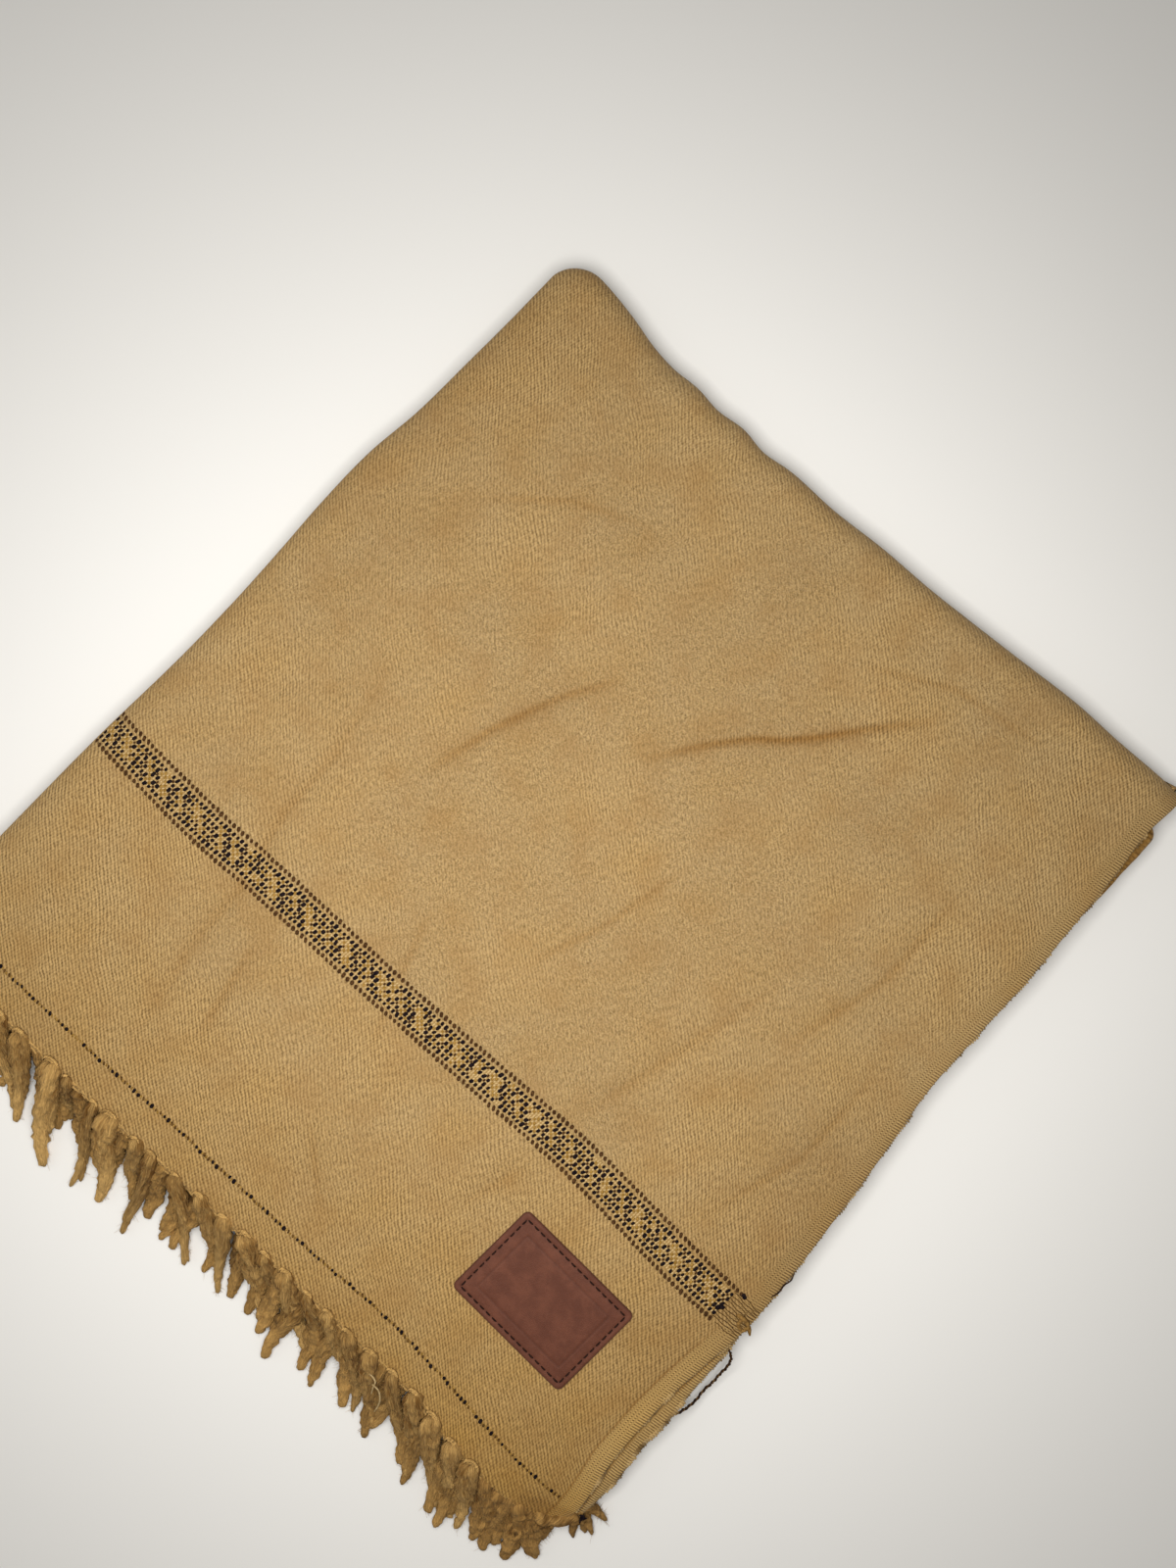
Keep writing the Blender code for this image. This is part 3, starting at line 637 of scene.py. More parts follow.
def makeFibreGroup():
    # Fibres run along a lock of felt: x is round it, y is along it, in millimetres.
    tree, given, result = newGroup("felted fibres", ("Tone", "Stretch"), ("Share", "Height"))
    scale = addNode(tree, "CombineXYZ", {0: 1.0, 1: given["Stretch"], 2: 1.0}).outputs[0]
    stretched = addNode(tree, "VectorMath", {0: given["Place"], 1: scale}, operation="MULTIPLY").outputs[0]
    strands = ramp(tree, noise(tree, stretched, 1.0, 3.0, 0.7), 0.3, 0.7)
    tufts = noise(tree, given["Place"], 0.22, 2.0)
    share = scaled(tree, strands, 0.45, scaled(tree, tufts, 0.6, -0.46))
    share = calc(tree, "ADD", share, given["Tone"], clamp=True)
    tree.links.new(share, result["Share"])
    tree.links.new(strands, result["Height"])
    return tree


def makeYarnGroup():
    tree, given, result = newGroup("spun yarn", ("Scale",), ("Share", "Height"))
    spots = noise(tree, given["Place"], given["Scale"], 2.0)
    tree.links.new(ramp(tree, spots, 0.35, 0.7), result["Share"])
    tree.links.new(spots, result["Height"])
    return tree


fibreGroup = makeFibreGroup()
yarnGroup = makeYarnGroup()


def makeFelt(name, light, dark):
    material, tree, shader = newMaterial(name, {
        "Roughness": 0.95, "Sheen Weight": 0.05, "Sheen Roughness": 0.5, "Specular IOR Level": 0.06,
        "Sheen Tint": (1.0, 0.82, 0.56, 1.0),
    })
    inputs = {"Place": piecePlace(tree), "Tone": pieceNumber(tree, "tone"), "Stretch": 0.2}
    fibres = useGroup(tree, fibreGroup, inputs)
    colour = mixColour(tree, fibres["Share"], dark, light)
    finishSurface(tree, shader, colour, fibres["Height"], 0.75, 1.0)
    return material


def makeYarn(name, colour, second, scale=0.9):
    material, tree, shader = newMaterial(name, {"Roughness": 0.95, "Specular IOR Level": 0.03})
    place = addNode(tree, "TexCoord").outputs["Object"]
    spun = useGroup(tree, yarnGroup, {"Place": place, "Scale": scale / mm})
    colour = mixColour(tree, spun["Share"], colour, second)
    finishSurface(tree, shader, colour, spun["Height"], 0.15, 0.6)
    return material


topWool = makeWool("camel twill")
# The folded layers and the fold end wear a darker copy of the twill: painted shade.
shadedFoldWool = makeWool("camel twill in the folds, darkened for shade", tone=0.86, nap=0.55)
topFelt = makeFelt("felted locks", (0.62, 0.375, 0.125), (0.140, 0.059, 0.010))
# The lower locks wear a darker copy of the felt: painted shade under the upper locks.
shadedUnderFelt = makeFelt("felted locks below, darkened for shade", (0.53, 0.300, 0.090), (0.080, 0.032, 0.005))
curledFelt = makeFelt("curled edge", (0.43, 0.237, 0.070), (0.100, 0.042, 0.008))
blackYarn = makeYarn("black yarn", (0.006, 0.004, 0.006), (0.016, 0.010, 0.010))
darkBrownYarn = makeYarn("dark brown yarn", (0.014, 0.008, 0.006), (0.050, 0.025, 0.012))
brownYarn = makeYarn("brown yarn", (0.036, 0.016, 0.006), (0.092, 0.043, 0.016))
ochreYarn = makeYarn("ochre yarn", (0.22, 0.118, 0.022), (0.37, 0.215, 0.055))
tickYarn = makeYarn("brown and ochre yarn", (0.045, 0.021, 0.007), (0.15, 0.076, 0.019))
paleYarn = makeYarn("pale yarn", (0.46, 0.315, 0.135), (0.60, 0.43, 0.21))
creamYarn = makeYarn("cream yarn", (0.34, 0.235, 0.105), (0.50, 0.36, 0.18))
tanYarn = makeYarn("tan yarn", (0.27, 0.150, 0.042), (0.13, 0.068, 0.020))
print("materials made")


band = {
    "upper": (
        (-212, -68.6), (-176, -68.5), (-156, -68.3), (-136, -67.8), (-116, -66.6), (-96, -65.5),
        (-56, -64.0), (-16, -62.3), (24, -59.7), (44, -58.3), (64, -56.7), (84, -55.3), (104, -55.0),
        (144, -55.4), (206, -55.4),
    ),
    "lower": (
        (-212, -86.0), (-176, -86.1), (-156, -86.2), (-136, -85.7), (-116, -84.4), (-76, -81.8),
        (-36, -80.2), (4, -77.7), (44, -75.3), (64, -73.8), (84, -72.8), (104, -73.0), (144, -73.8),
        (164, -74.1), (184, -73.5), (206, -73.0),
    ),
    "pitch": 1.28,
    "borderPitch": 2.65,
    "start": -206.5,
    "end": (185.5, 190.0, 187.0),  # the rows, the upper border and the lower one
    # K and k: black, large and small; o: ochre; b: brown; a dot: the pale ground.
    # The marks slant across the band with the twill. The first chart is for the places of the floats,
    # the second for the gaps between them.
    "chart": "KkKoKKkooKKkKoKKoo",
    "gaps": "ob.o.bo",
    "rows": 9,
    "rowPitch": 1.33,
    "firstRow": 2.8,
    "between": 16.4,
    "missed": 0.03,
    "swapped": 0.08,
    # Each kind of float: (length, width, height)
    "black": (2.75, 2.0, 0.56),
    "blackSmall": (2.25, 1.65, 0.5),
    "ochre": (1.9, 1.35, 0.34),
    "brown": (1.65, 1.2, 0.4),
    "pale": (1.6, 0.8, 0.34),
    "border": (2.6, 1.9, 0.52),
    "knot": (2.6, 2.3, 0.8),
    "tails": 12,
    "tailRadius": 0.2,
    "knots": ((190.6, -55.5), (189.6, -55.1), (186.2, -66.0), (185.0, -65.2), (184.6, -67.4)),
}
stripe = {
    "route": (
        (-212, -192.3), (-176, -191.8), (-136, -190.9), (-96, -189.3), (-56, -187.0), (-16, -185.5),
        (24, -183.7), (44, -182.5), (64, -180.6), (84, -180.0), (104, -180.9), (124, -181.8),
        (144, -183.2), (164, -184.4), (190, -185.2), (204, -185.5),
    ),
    "start": -208.0,
    "end": 198.0,
    "pitch": 2.62,
    "chart": "kKbb",
    "swapped": 0.15,
    "black": (2.4, 1.9, 0.5),
    "blackSmall": (1.9, 1.4, 0.45),
    "brown": (2.1, 1.15, 0.42),
    "ochre": (1.7, 1.0, 0.34),
}


topCloth = {
    "cell": 1.6,
    "foldReach": 18.0,
    "foldCells": 17,
    "foldCrowding": 1.35,
    "turnRows": 8,
    "turnArc": 7.5,
    "apexBlend": 32.0,
    "rimInset": 0.9,
    # Middle and reach of the painted pool of light in the nap.
    "napMiddle": (-20, 60),
    "napReach": 190,
}


def turnedPoints(rimPoint, out, leftShare, turnShare, row):
    # Where the cloth has turned under the fold by this many of the part's rows.
    k = int(min(row, 2.999))
    moves = []
    for part in (0, 1):  # inward, then down
        left, cross = ([0.0] + [turn[part] for turn in cloth[name]] for name in ("leftTurn", "crossTurn"))
        here, after = (mix(cross[n], left[n], leftShare) for n in (k, k + 1))
        moves.append(mix(here, after, row - k) * turnShare)
    moved = rimPoint.copy()
    moved[:, :2] -= out * moves[0][:, None]
    moved[:, 2] -= moves[1]
    return moved


def turnedCloth():
    # The top layer as a grid that also turns under its two folds, and each point's place on the flat cloth.
    sizes = topCloth
    width, length = cloth["width"], cloth["length"]
    inset, fold, cells = sizes["rimInset"], sizes["foldReach"], sizes["foldCells"]
    folded = fold * (np.arange(cells) / cells) ** sizes["foldCrowding"]
    count = round((width - inset - fold) / sizes["cell"])
    across = np.concatenate((folded, np.linspace(fold, width - inset, count)))
    count = round((length - inset - fold) / sizes["cell"])
    along = np.concatenate((np.linspace(inset, length - fold, count), length - folded[::-1]))
    flatPlace = np.stack(np.meshgrid(across, along, indexing="ij"), -1)
    fromLeft, fromEnd = roundCorners(flatPlace[..., 0], flatPlace[..., 1])
    spots = plan(fromLeft / width, fromEnd / length)
    x, y = spots[..., 0], spots[..., 1]
    grid = np.stack((x, y, clothHeight(x, y)), -1)
    columns, rows = grid.shape[:2]
    turn = sizes["turnRows"]
    # The fold's path: up the left side, round the apex and along the cross fold.
    path = np.concatenate((grid[0], grid[1:, -1]))
    tangent = np.gradient(path[:, :2], axis=0)
    out = unit(np.stack((-tangent[:, 1], tangent[:, 0]), -1))
    run = distanceAlong(path[:, :2])
    leftShare = 1 - smoothStep(0.5 + (run - run[rows - 1]) / sizes["apexBlend"])
    inside = np.minimum(run, run[-1] - run)
    turnShare = mix(cloth["turnLeast"], 1.0, smoothStep(inside / cloth["turnFade"]))
    whole, places = np.zeros((2, columns + turn, rows + turn, 3))
    whole[turn:, :rows] = grid
    places[turn:, :rows, :2] = flatPlace
    for step in range(1, turn + 1):
        ring = turnedPoints(path, out, leftShare, turnShare, 3.0 * step / turn)
        arc = sizes["turnArc"] * step / turn
        whole[turn - step, :rows] = ring[:rows]
        places[turn - step, :rows, 0] = -arc
        places[turn - step, :rows, 1] = along
        whole[turn:, rows - 1 + step] = ring[rows - 1:]
        places[turn:, rows - 1 + step, 0] = across
        places[turn:, rows - 1 + step, 1] = length + arc
        # The little square of mesh that the apex leaves between the two turned sides.
        apex = ring[rows - 1]
        toLeft, toCross = unit(ring[rows - 2] - apex), unit(ring[rows] - apex)
        for k in range(1, step + 1):
            spread = 0.06 * k
            whole[turn - step, rows - 1 + k] = apex - toLeft * spread
            whole[turn - k, rows - 1 + step] = apex - toCross * spread
            places[turn - step, rows - 1 + k] = (-arc, length + k, 0)
            places[turn - k, rows - 1 + step] = (-k, length + arc, 0)
    return whole, places


def clothNumbers(x, y):
    # What the cloth's material reads at each point of the top layer.
    # Painted shade darkens the bottoms of the creases.
    pressed = np.clip(creaseParts(x, y)[1], 0, 1)
    # The nap is painted fullest round the middle and thinner towards the edges and in the creases: a
    # painted pool of light over a random wander.
    napX, napY = topCloth["napMiddle"]
    fromMiddle = np.hypot((x - napX) / topCloth["napReach"], (y - napY) / topCloth["napReach"])
    nap = np.clip(1.05 - 0.75 * fromMiddle**2 + 0.3 * softNoise(11, 90, x, y) - 0.9 * pressed, 0, 1)
    upper, lower = curveThrough(band["upper"])(x), curveThrough(band["lower"])(x)
    fromBand = np.abs(y - (upper + lower) / 2) - (upper - lower) / 2
    inBand = smoothStep((-1.2 - fromBand) / 1.8) * smoothStep((band["end"][0] + 2 - x) / 4)
    # The cloth is painted a deeper brown near the fringe, most of all at the low corner, where it curls,
    # and away from the lit middle: partly its own browner tone, partly painted shade.
    fromEnd, fromRim, fromFold = y - fringedY(x), selvedgeX(y) - x, x - leftX(y)
    rich = 0.45 * np.exp(-np.maximum(fromEnd, 0) / 34) + 0.45 * bell(np.hypot(fromEnd, fromRim), 120)
    rich = np.clip(0.06 + rich + 0.10 * (1 - nap) + 0.10 * softNoise(12, 40, x, y), 0, 1)
    # It is darker still where it curls at the low corner.
    curlAndShade = smoothStep((19 - fromEnd - 0.25 * fromRim) / 4) * smoothStep((34 - fromRim) / 10)
    # Painted shade runs faintly along the low selvedge and the upper part of the left fold.
    curlAndShade += 0.5 * bell(fromRim, 42) * smoothStep((70 - y) / 60) * smoothStep((y + 150) / 50)
    curlAndShade += 0.3 * bell(fromFold, 45) * smoothStep((y - 30) / 60)
    return {"pressed": pressed, "nap": nap, "rich": rich, "band": inBand,
            "curlAndShade": np.clip(curlAndShade, 0, 1), "lowEdge": smoothStep((-58 - y) / 45)}


def makeTopCloth():
    grid, places = turnedCloth()
    points, faces, source = closedSheet(grid, cloth["wall"])
    numbers = clothNumbers(*grid.reshape(-1, 3).T[:2])
    return addPiece("top_cloth", points, faces, topWool, replaces=("top_panel",),
                    clothPlace=places.reshape(-1, 3)[source],
                    **{name: values[source] for name, values in numbers.items()})


topPiece = makeTopCloth()
print("top cloth:", len(topPiece.data.polygons), "faces")


underFolds = {
    "loopStep": 2.0,
    "rings": 92,
    "height": 26.0,
    "layerPitch": 1.45,
    "reach": {"left": -2.4, "cross": -1.6, "selvedge": -2.6, "end": -3.4},
    "foldGroove": 1.9,
    "edgeGroove": 1.0,
    "wander": 1.1,
    "capRings": (0.985, 0.95, 0.85, 0.6, 0.3),
    "capDepth": 2.7,
    # The folded end that stands out past the selvedge near the right tip: (reach, level, half height)
    "tail": (3.4, 14.0, 2.8),
    "sideBlend": 32.0,
}


def outline(step):
    # The top layer's outline as one anticlockwise loop, with how far each point belongs to each side.
    count = int(400 / step)
    share = np.linspace(0, 1, count)
    width, length = cloth["width"], cloth["length"]
    sides = ((share * width, 0 * share), (0 * share + width, share * length),
             (width - share * width, 0 * share + length), (0 * share, length - share * length))
    loops = []
    for fromLeft, fromEnd in sides:
        fromLeft, fromEnd = roundCorners(fromLeft[:-1], fromEnd[:-1])
        loops.append(plan(fromLeft / width, fromEnd / length))
    loop = np.concatenate(loops)
    loop = np.append(loop, loop[:1], 0)
    run = distanceAlong(loop)
    total = run[-1]
    even = np.arange(0, total, total / round(total / step))
    points = np.stack([np.interp(even, run, column) for column in loop.T], -1)
    bounds = [run[k * (count - 1)] for k in range(4)] + [total]
    weights = []
    for start, end in zip(bounds[:-1], bounds[1:]):
        inside = np.minimum((even - start + total / 2) % total, (end - even + total / 2) % total)
        weights.append(smoothStep(0.5 + (inside - total / 2) / underFolds["sideBlend"]))
    weights = np.stack(weights, -1)
    weights /= weights.sum(-1, keepdims=True)
    along = np.roll(points, -1, 0) - np.roll(points, 1, 0)
    out = unit(np.stack((along[:, 1], -along[:, 0]), -1))
    return points, out, dict(zip(("end", "selvedge", "cross", "left"), weights.T)), even, total


def groove(within):
    # 0 in the middle of a rounded layer and 1 at the gap beside it.
    return 1 - np.sqrt(np.clip(1 - (2 * within - 1) ** 2, 0, 1))


def makeUnderLayers():
    sizes = underFolds
    loop, out, side, run, total = outline(sizes["loopStep"])
    angle = run / total * 2 * math.pi
    ring = [part(angle) * total / (2 * math.pi) for part in (np.cos, np.sin)]
    folded = side["left"] + side["cross"]
    turnDown = side["left"] * cloth["leftTurn"][-1][1] + side["cross"] * cloth["crossTurn"][-1][1]
    start = plainLevel(*loop.T) - mix(2.6, turnDown + 0.4, folded)
    base = sum(side[name] * reach for name, reach in sizes["reach"].items())
    warp = 0.5 * softNoise(21, 150, *ring)
    layerCount = int(sizes["height"] / sizes["layerPitch"]) + 2
    wander = np.array([
        sizes["wander"] * softNoise(40 + k, 120, *ring) + 0.35 * softNoise(80 + k, 30, *ring)
        + 0.7 * math.sin(2.3 * k) for k in range(layerCount)])
    tailReach, tailLevel, tailHalf = sizes["tail"]
    tail = tailReach * smoothStep((loop[:, 1] - 140) / 80) * smoothStep((236 - loop[:, 1]) / 10)
    index = np.arange(len(loop))
    rings, places = [], []
    for row in range(sizes["rings"] + 1):
        level = start * (1 - row / sizes["rings"])
        phase = (level + warp * np.clip(level / 4, 0, 1)) / sizes["layerPitch"]
        phase = np.clip(phase, 0, layerCount - 2.001)
        layer = phase.astype(int)
        pair = layer // 2
        single, double = groove(phase - layer), groove((phase - 2 * pair) / 2)
        edgeReach = wander[layer, index] - sizes["edgeGroove"] * single
        foldReach = wander[np.minimum(2 * pair, layerCount - 1), index] - sizes["foldGroove"] * double
        reach = base + mix(edgeReach, foldReach - 0.25 * single, folded)
        reach = reach + tail * bell(level - tailLevel, tailHalf) * side["selvedge"]
        # The last rows tuck in so that the stack rests on a slightly rounded foot.
        reach = reach - 1.2 * (1 - smoothStep(level / 1.6))
        rings.append(np.column_stack((loop + out * reach[:, None], level)))
        fromFold = cloth["width"] - 6 * (1 - folded) + level * 0.4
        places.append(np.column_stack((fromFold, run, 0 * run)))
    cap = []
    middle = loop.mean(axis=0)
    for share in sizes["capRings"]:
        spot = middle + (rings[0][:, :2] - middle) * share
        level = plainLevel(*spot.T) - creaseDepth(*spot.T) - sizes["capDepth"]
        cap.append(np.column_stack((spot, level)))
    rows = cap[::-1] + rings
    points, count = np.concatenate(rows), len(loop)
    faces = []
    for row in range(len(rows) - 1):
        faces += bandFaces(row * count + np.arange(count), (row + 1) * count + np.arange(count))
    faces.append(tuple(range(count)))
    faces.append(tuple(range(len(points) - 1, len(points) - 1 - count, -1)))
    return addPiece("folded_layers", points, faces, shadedFoldWool, replaces=("under_layers",),
                    clothPlace=np.concatenate(places[:1] * len(cap) + places), pressed=0.0)


underPiece = makeUnderLayers()
print("folded layers:", len(underPiece.data.polygons), "faces")


secondLayer = {
    "reach": (  # (y, past the top selvedge)
        (-203, 1.5), (-185, 4.2), (-160, 8.3), (-140, 8.8), (-119, 8.6), (-100, 6.0), (-80, 3.6),
        (-64, -1.0), (-20, -1.2), (60, -0.6), (140, -0.6), (200, -0.8), (257, -2.0),
    ),
    "from": -194.0,
    "to": 236.0,
    "inside": 26.0,
    "fineReach": 8,
    "cell": 1.5,
    "wall": 1.6,
    "below": 2.5,
}
secondReach = curveThrough(secondLayer["reach"])


def makeSecondSelvedge():
    sizes = secondLayer
    y = np.arange(sizes["from"], sizes["to"], sizes["cell"])
    fine = sizes["fineReach"]
    outward = np.concatenate((np.linspace(-sizes["inside"], -fine, 10)[:-1], np.linspace(-fine, 0, 13)))
    edge, outward = selvedgeX(y)[None], outward[:, None]
    x = edge + secondReach(y)[None] * smoothStep((outward + 14) / 14) + outward
    y = np.broadcast_to(y, x.shape)
    level = plainLevel(np.minimum(x, edge), y) - sizes["below"] - 0.16 * np.maximum(x - edge, 0)
    level = level - 1.1 * np.clip(1 + outward / 2.2, 0, 1) ** 2
    level = level + 0.25 * softNoise(31, 26, x, y)
    points, faces, source = closedSheet(np.stack((x, y, level), -1), sizes["wall"], coarse=4, inset=2.0)
    place = np.stack((cloth["width"] + outward + 0 * x, y - cloth["lowEnd"], 0 * x), -1).reshape(-1, 3)
    # Painted shadow of the top layer's edge darkens it there and fades outward; it is also browned and its
    # nap thinned as painted shade.
    pressed = smoothStep(1 - (x - edge - 0.5) / 2.2).reshape(-1)
    return addPiece("second_selvedge", points, faces, topWool, clothPlace=place[source],
                    pressed=pressed[source], nap=0.2, rich=0.4, lowEdge=0.5)


secondPiece = makeSecondSelvedge()
print("second selvedge made")


foldEnd = {
    "reach": (  # (y, past the top selvedge)
        (130, -2.0), (150, 0.4), (174, 2.0), (197, 3.4), (214, 4.6), (222.7, 5.9), (228, 6.3), (231, 5.8),
        (233, 4.2), (234.4, 1.6), (235.2, -1.4),
    ),
    "level": 14.6,
    "half": ((130, 1.6), (197, 3.0), (222, 4.4), (229, 4.6), (233, 3.6), (235.2, 1.2)),
    "thick": ((130, 0.8), (197, 1.5), (222, 2.3), (229, 2.4), (233, 1.9), (235.2, 0.6)),
}


def makeFoldEnd():
    # A folded end of the cloth that looks out under the selvedge, just below the right tip.
    reach, half, thick = (curveThrough(foldEnd[name]) for name in ("reach", "half", "thick"))
    y = np.concatenate((np.linspace(130, 222, 56), np.linspace(223, 235.2, 22)))
    x = selvedgeX(y) + reach(y) - half(y)
    level = foldEnd["level"] + 0.5 * softNoise(33, 60, y) + 0.4 * np.sin(y / 19)
    routes = np.stack((x, y, level), -1)[None]
    points, faces = tubes(routes, np.stack((half(y), thick(y)), -1)[None], 20)
    points = points + 0.12 * softNoise(34, 9, *points.T)[:, None] * (1, 0, 1)
    place = np.column_stack((cloth["width"] - 30 + points[:, 2], points[:, 1], 0 * points[:, 1]))
    # It is darkened and browned all over: painted shadow under the top layer.
    addPiece("fold_end", points, faces, shadedFoldWool, clothPlace=place, pressed=0.25, rich=1.0)


makeFoldEnd()
print("fold end made")


rimLoops = {
    "from": -186.0,
    "to": 230.0,
    "secondTo": -64,
    "pitch": 1.4,
    "half": (1.9, 0.82, 0.78),
    "unevenReach": 0.36,
    "waves": ((0.22, 2.7), (0.35, 7.1)),
}


def addRimLoops(name, y, reach, drop, seed):
    # The small loops of weft that make the rim of a selvedge uneven.
    chance = np.random.default_rng(seed)
    x = selvedgeX(y)
    slope = (selvedgeX(y + 1) - selvedgeX(y - 1)) / 2
    out = unit(np.stack((np.ones_like(y), -slope, 0 * y), -1))
    alongEdge = unit(np.stack((slope, np.ones_like(y), 0 * y), -1))
    bump = chance.uniform(-1, 1, len(y)) * rimLoops["unevenReach"]
    for height, length in rimLoops["waves"]:
        bump = bump + height * np.sin(y / length)
    middle = np.stack((x, y, plainLevel(x, y) - drop), -1) + out * (reach + bump - 0.9)[:, None]
    half = np.array(rimLoops["half"])[None] * chance.uniform(0.85, 1.15, (len(y), 3))
    tip = unit(out + (0, 0, -0.25))
    points, faces = grains(middle, tip, alongEdge, unit(np.cross(tip, alongEdge)), half)
    place = np.column_stack((cloth["width"] + 0 * y, y - cloth["lowEnd"], 0 * y))
    place = np.repeat(place, len(points) // len(y), axis=0)
    addPiece(name, points, faces, topWool, clothPlace=place, pressed=0.0, nap=0.3)


edgeY = np.arange(rimLoops["from"], rimLoops["to"], rimLoops["pitch"])
addRimLoops("top_rim_loops", edgeY, 0 * edgeY - 0.05, 0.9, 5)
edgeY = edgeY[edgeY < rimLoops["secondTo"]]
addRimLoops("second_rim_loops", edgeY, secondReach(edgeY) - 0.1, 4.4, 6)
print("rim loops made")


floatDepth = 0.32  # how far a float of yarn reaches up and down from its middle


def addFloats(name, spots, finish, size, turn, seed):
    # One low grain of yarn at each place, lying along the warp and turned a little.
    chance = np.random.default_rng(seed)
    x, y = np.array(spots, float).T
    length, width, rise = size
    spot, alongX, alongY, up = surfaceAt(x, y)
    angle = np.radians(turn + chance.normal(0, 9, len(x)))[:, None]
    along = alongY * np.cos(angle) + alongX * np.sin(angle)
    length = length * chance.uniform(0.8, 1.2, len(x))
    width = width * chance.uniform(0.85, 1.15, len(x))
    half = np.stack((length / 2, width / 2, 0 * x + floatDepth), -1)
    points, faces = grains(spot + up * (rise - floatDepth), along, np.cross(up, along), up, half)
    addPiece(name, points, faces, finish)


def weaveFloats(kinds, spots, sizes, firstSeed):
    for k, (mark, (name, finish, size, turn)) in enumerate(kinds.items()):
        addFloats(name, spots[mark], finish, sizes[size], turn, firstSeed + k)


def makeBand():
    chance = np.random.default_rng(17)
    upper, lower = curveThrough(band["upper"]), curveThrough(band["lower"])
    rowsEnd, upperEnd, lowerEnd = band["end"]
    chart, gaps, lastRow = band["chart"], band["gaps"], band["rows"] - 1
    spots = {mark: [] for mark in "Kkob."}
    for i, x in enumerate(np.arange(band["start"], rowsEnd, band["pitch"])):
        top, bottom = float(upper(x)), float(lower(x))
        for j in range(band["rows"]):
            share = (band["firstRow"] + j * band["rowPitch"]) / band["between"]
            spot = (x + chance.normal(0, 0.08), mix(bottom, top, share) + chance.normal(0, 0.1))
            main = i % 2 == 0 and j % 2 == 0
            mark = "."
            if main:
                mark = chart[(i + j) // 2 % len(chart)]
            elif i % 2 and j % 2:
                mark = gaps[(i // 2 + 2 * j) % len(gaps)]
            # The chart repeats, but the yarns don't: some floats are missed and some change places.
            if chance.random() < band["missed"]:
                mark = "."
            elif mark == "o" and main and j in (0, lastRow):
                mark = "k"
            elif main and chance.random() < band["swapped"]:
                mark = "kKo"[chance.integers(3)]
            spots[mark].append(spot)
    weaveFloats({
        "K": ("band_black_large", blackYarn, "black", 10),
        "k": ("band_black_small", blackYarn, "blackSmall", 10),
        "o": ("band_ochre", ochreYarn, "ochre", -16),
        "b": ("band_brown", brownYarn, "brown", 5),
        ".": ("band_pale", paleYarn, "pale", 14),
    }, spots, band, 51)
    for label, line, last in (("upper", upper, upperEnd), ("lower", lower, lowerEnd)):
        x = np.arange(band["start"], last, band["borderPitch"])
        border = np.column_stack((x, line(x) + 0.15 * np.sin(x)))
        addFloats("band_border_" + label, border, brownYarn, band["border"], -30, 58)
    addFloats("band_end_knots", band["knots"], blackYarn, band["knot"], 30, 59)
    makeBandTails(upper, lower)


def makeBandTails(upper, lower):
    # Past the last floats the dark wefts run on to the selvedge as thin lines.
    routes = []
    last = band["tails"] - 1
    for k, share in enumerate(np.linspace(0.0, 1.0, band["tails"])):
        start = band["end"][0] + (3.5 if k in (0, last) else 0.0)
        x = np.linspace(start, float(selvedgeX(-64.0)) - 1.5, 14)
        y = mix(lower(x), upper(x), share) + 0.25 * np.sin(0.7 * x + 2.1 * k)
        y = y + 1.6 * (0.5 - share) * (x - start) / 14
        spot, _, _, up = surfaceAt(x, y)
        routes.append(spot + up * 0.12)
    routes = np.array(routes)
    points, faces = tubes(routes, np.full(routes.shape[:2], band["tailRadius"]), 6)
    addPiece("band_tails", points, faces, tickYarn)


def makeStripe():
    chance = np.random.default_rng(23)
    line, chart = curveThrough(stripe["route"]), stripe["chart"]
    spots = {mark: [] for mark in "Kkbo"}
    x, k = stripe["start"], 0
    while x < stripe["end"]:
        mark = chart[k % len(chart)]
        if chance.random() < stripe["swapped"]:
            mark = "kKbo"[chance.integers(4)]
        spots[mark].append((x, float(line(x)) + chance.normal(0, 0.25)))
        spots["o"].append((x + stripe["pitch"] / 2, float(line(x)) + chance.normal(0, 0.2)))
        x += stripe["pitch"] * chance.uniform(0.86, 1.14)
        k += 1
    weaveFloats({
        "K": ("stripe_black_large", blackYarn, "black", -20),
        "k": ("stripe_black_small", blackYarn, "blackSmall", -26),
        "b": ("stripe_brown", tickYarn, "brown", -34),
        "o": ("stripe_ochre", ochreYarn, "ochre", -30),
    }, spots, stripe, 61)


makeBand()
makeStripe()
print("band and stripe woven")


patch = {
    "size": (70.0, 50.0),
    "corner": 3.0,
    "lift": 0.35,
    "thickness": 1.6,
    "cell": 0.7,
    "edgeRound": 0.7,
    "stitchInset": 3.0,
    "stitchesAcross": 16,
    "stitchesAlong": 11,
    "stitchHalf": 1.25,
    "holeReach": 1.35,
    "stitchDent": 0.28,
    "lineDent": 0.10,
    "frameInset": 8.5,
    "frameWidth": 0.9,
    "frameDepth": 0.34,
    "threadRadius": 0.44,
    # The rows of points down its cut edge: (inward, down)
    "edgeRows": ((-0.12, 0.25), (-0.12, 0.7), (0.1, 1.15), (0.8, 1.5)),
    "colour": (0.096, 0.0272, 0.0118),
    "worn": (0.136, 0.0418, 0.0195),
    "dark": (0.046, 0.0135, 0.0068),
}


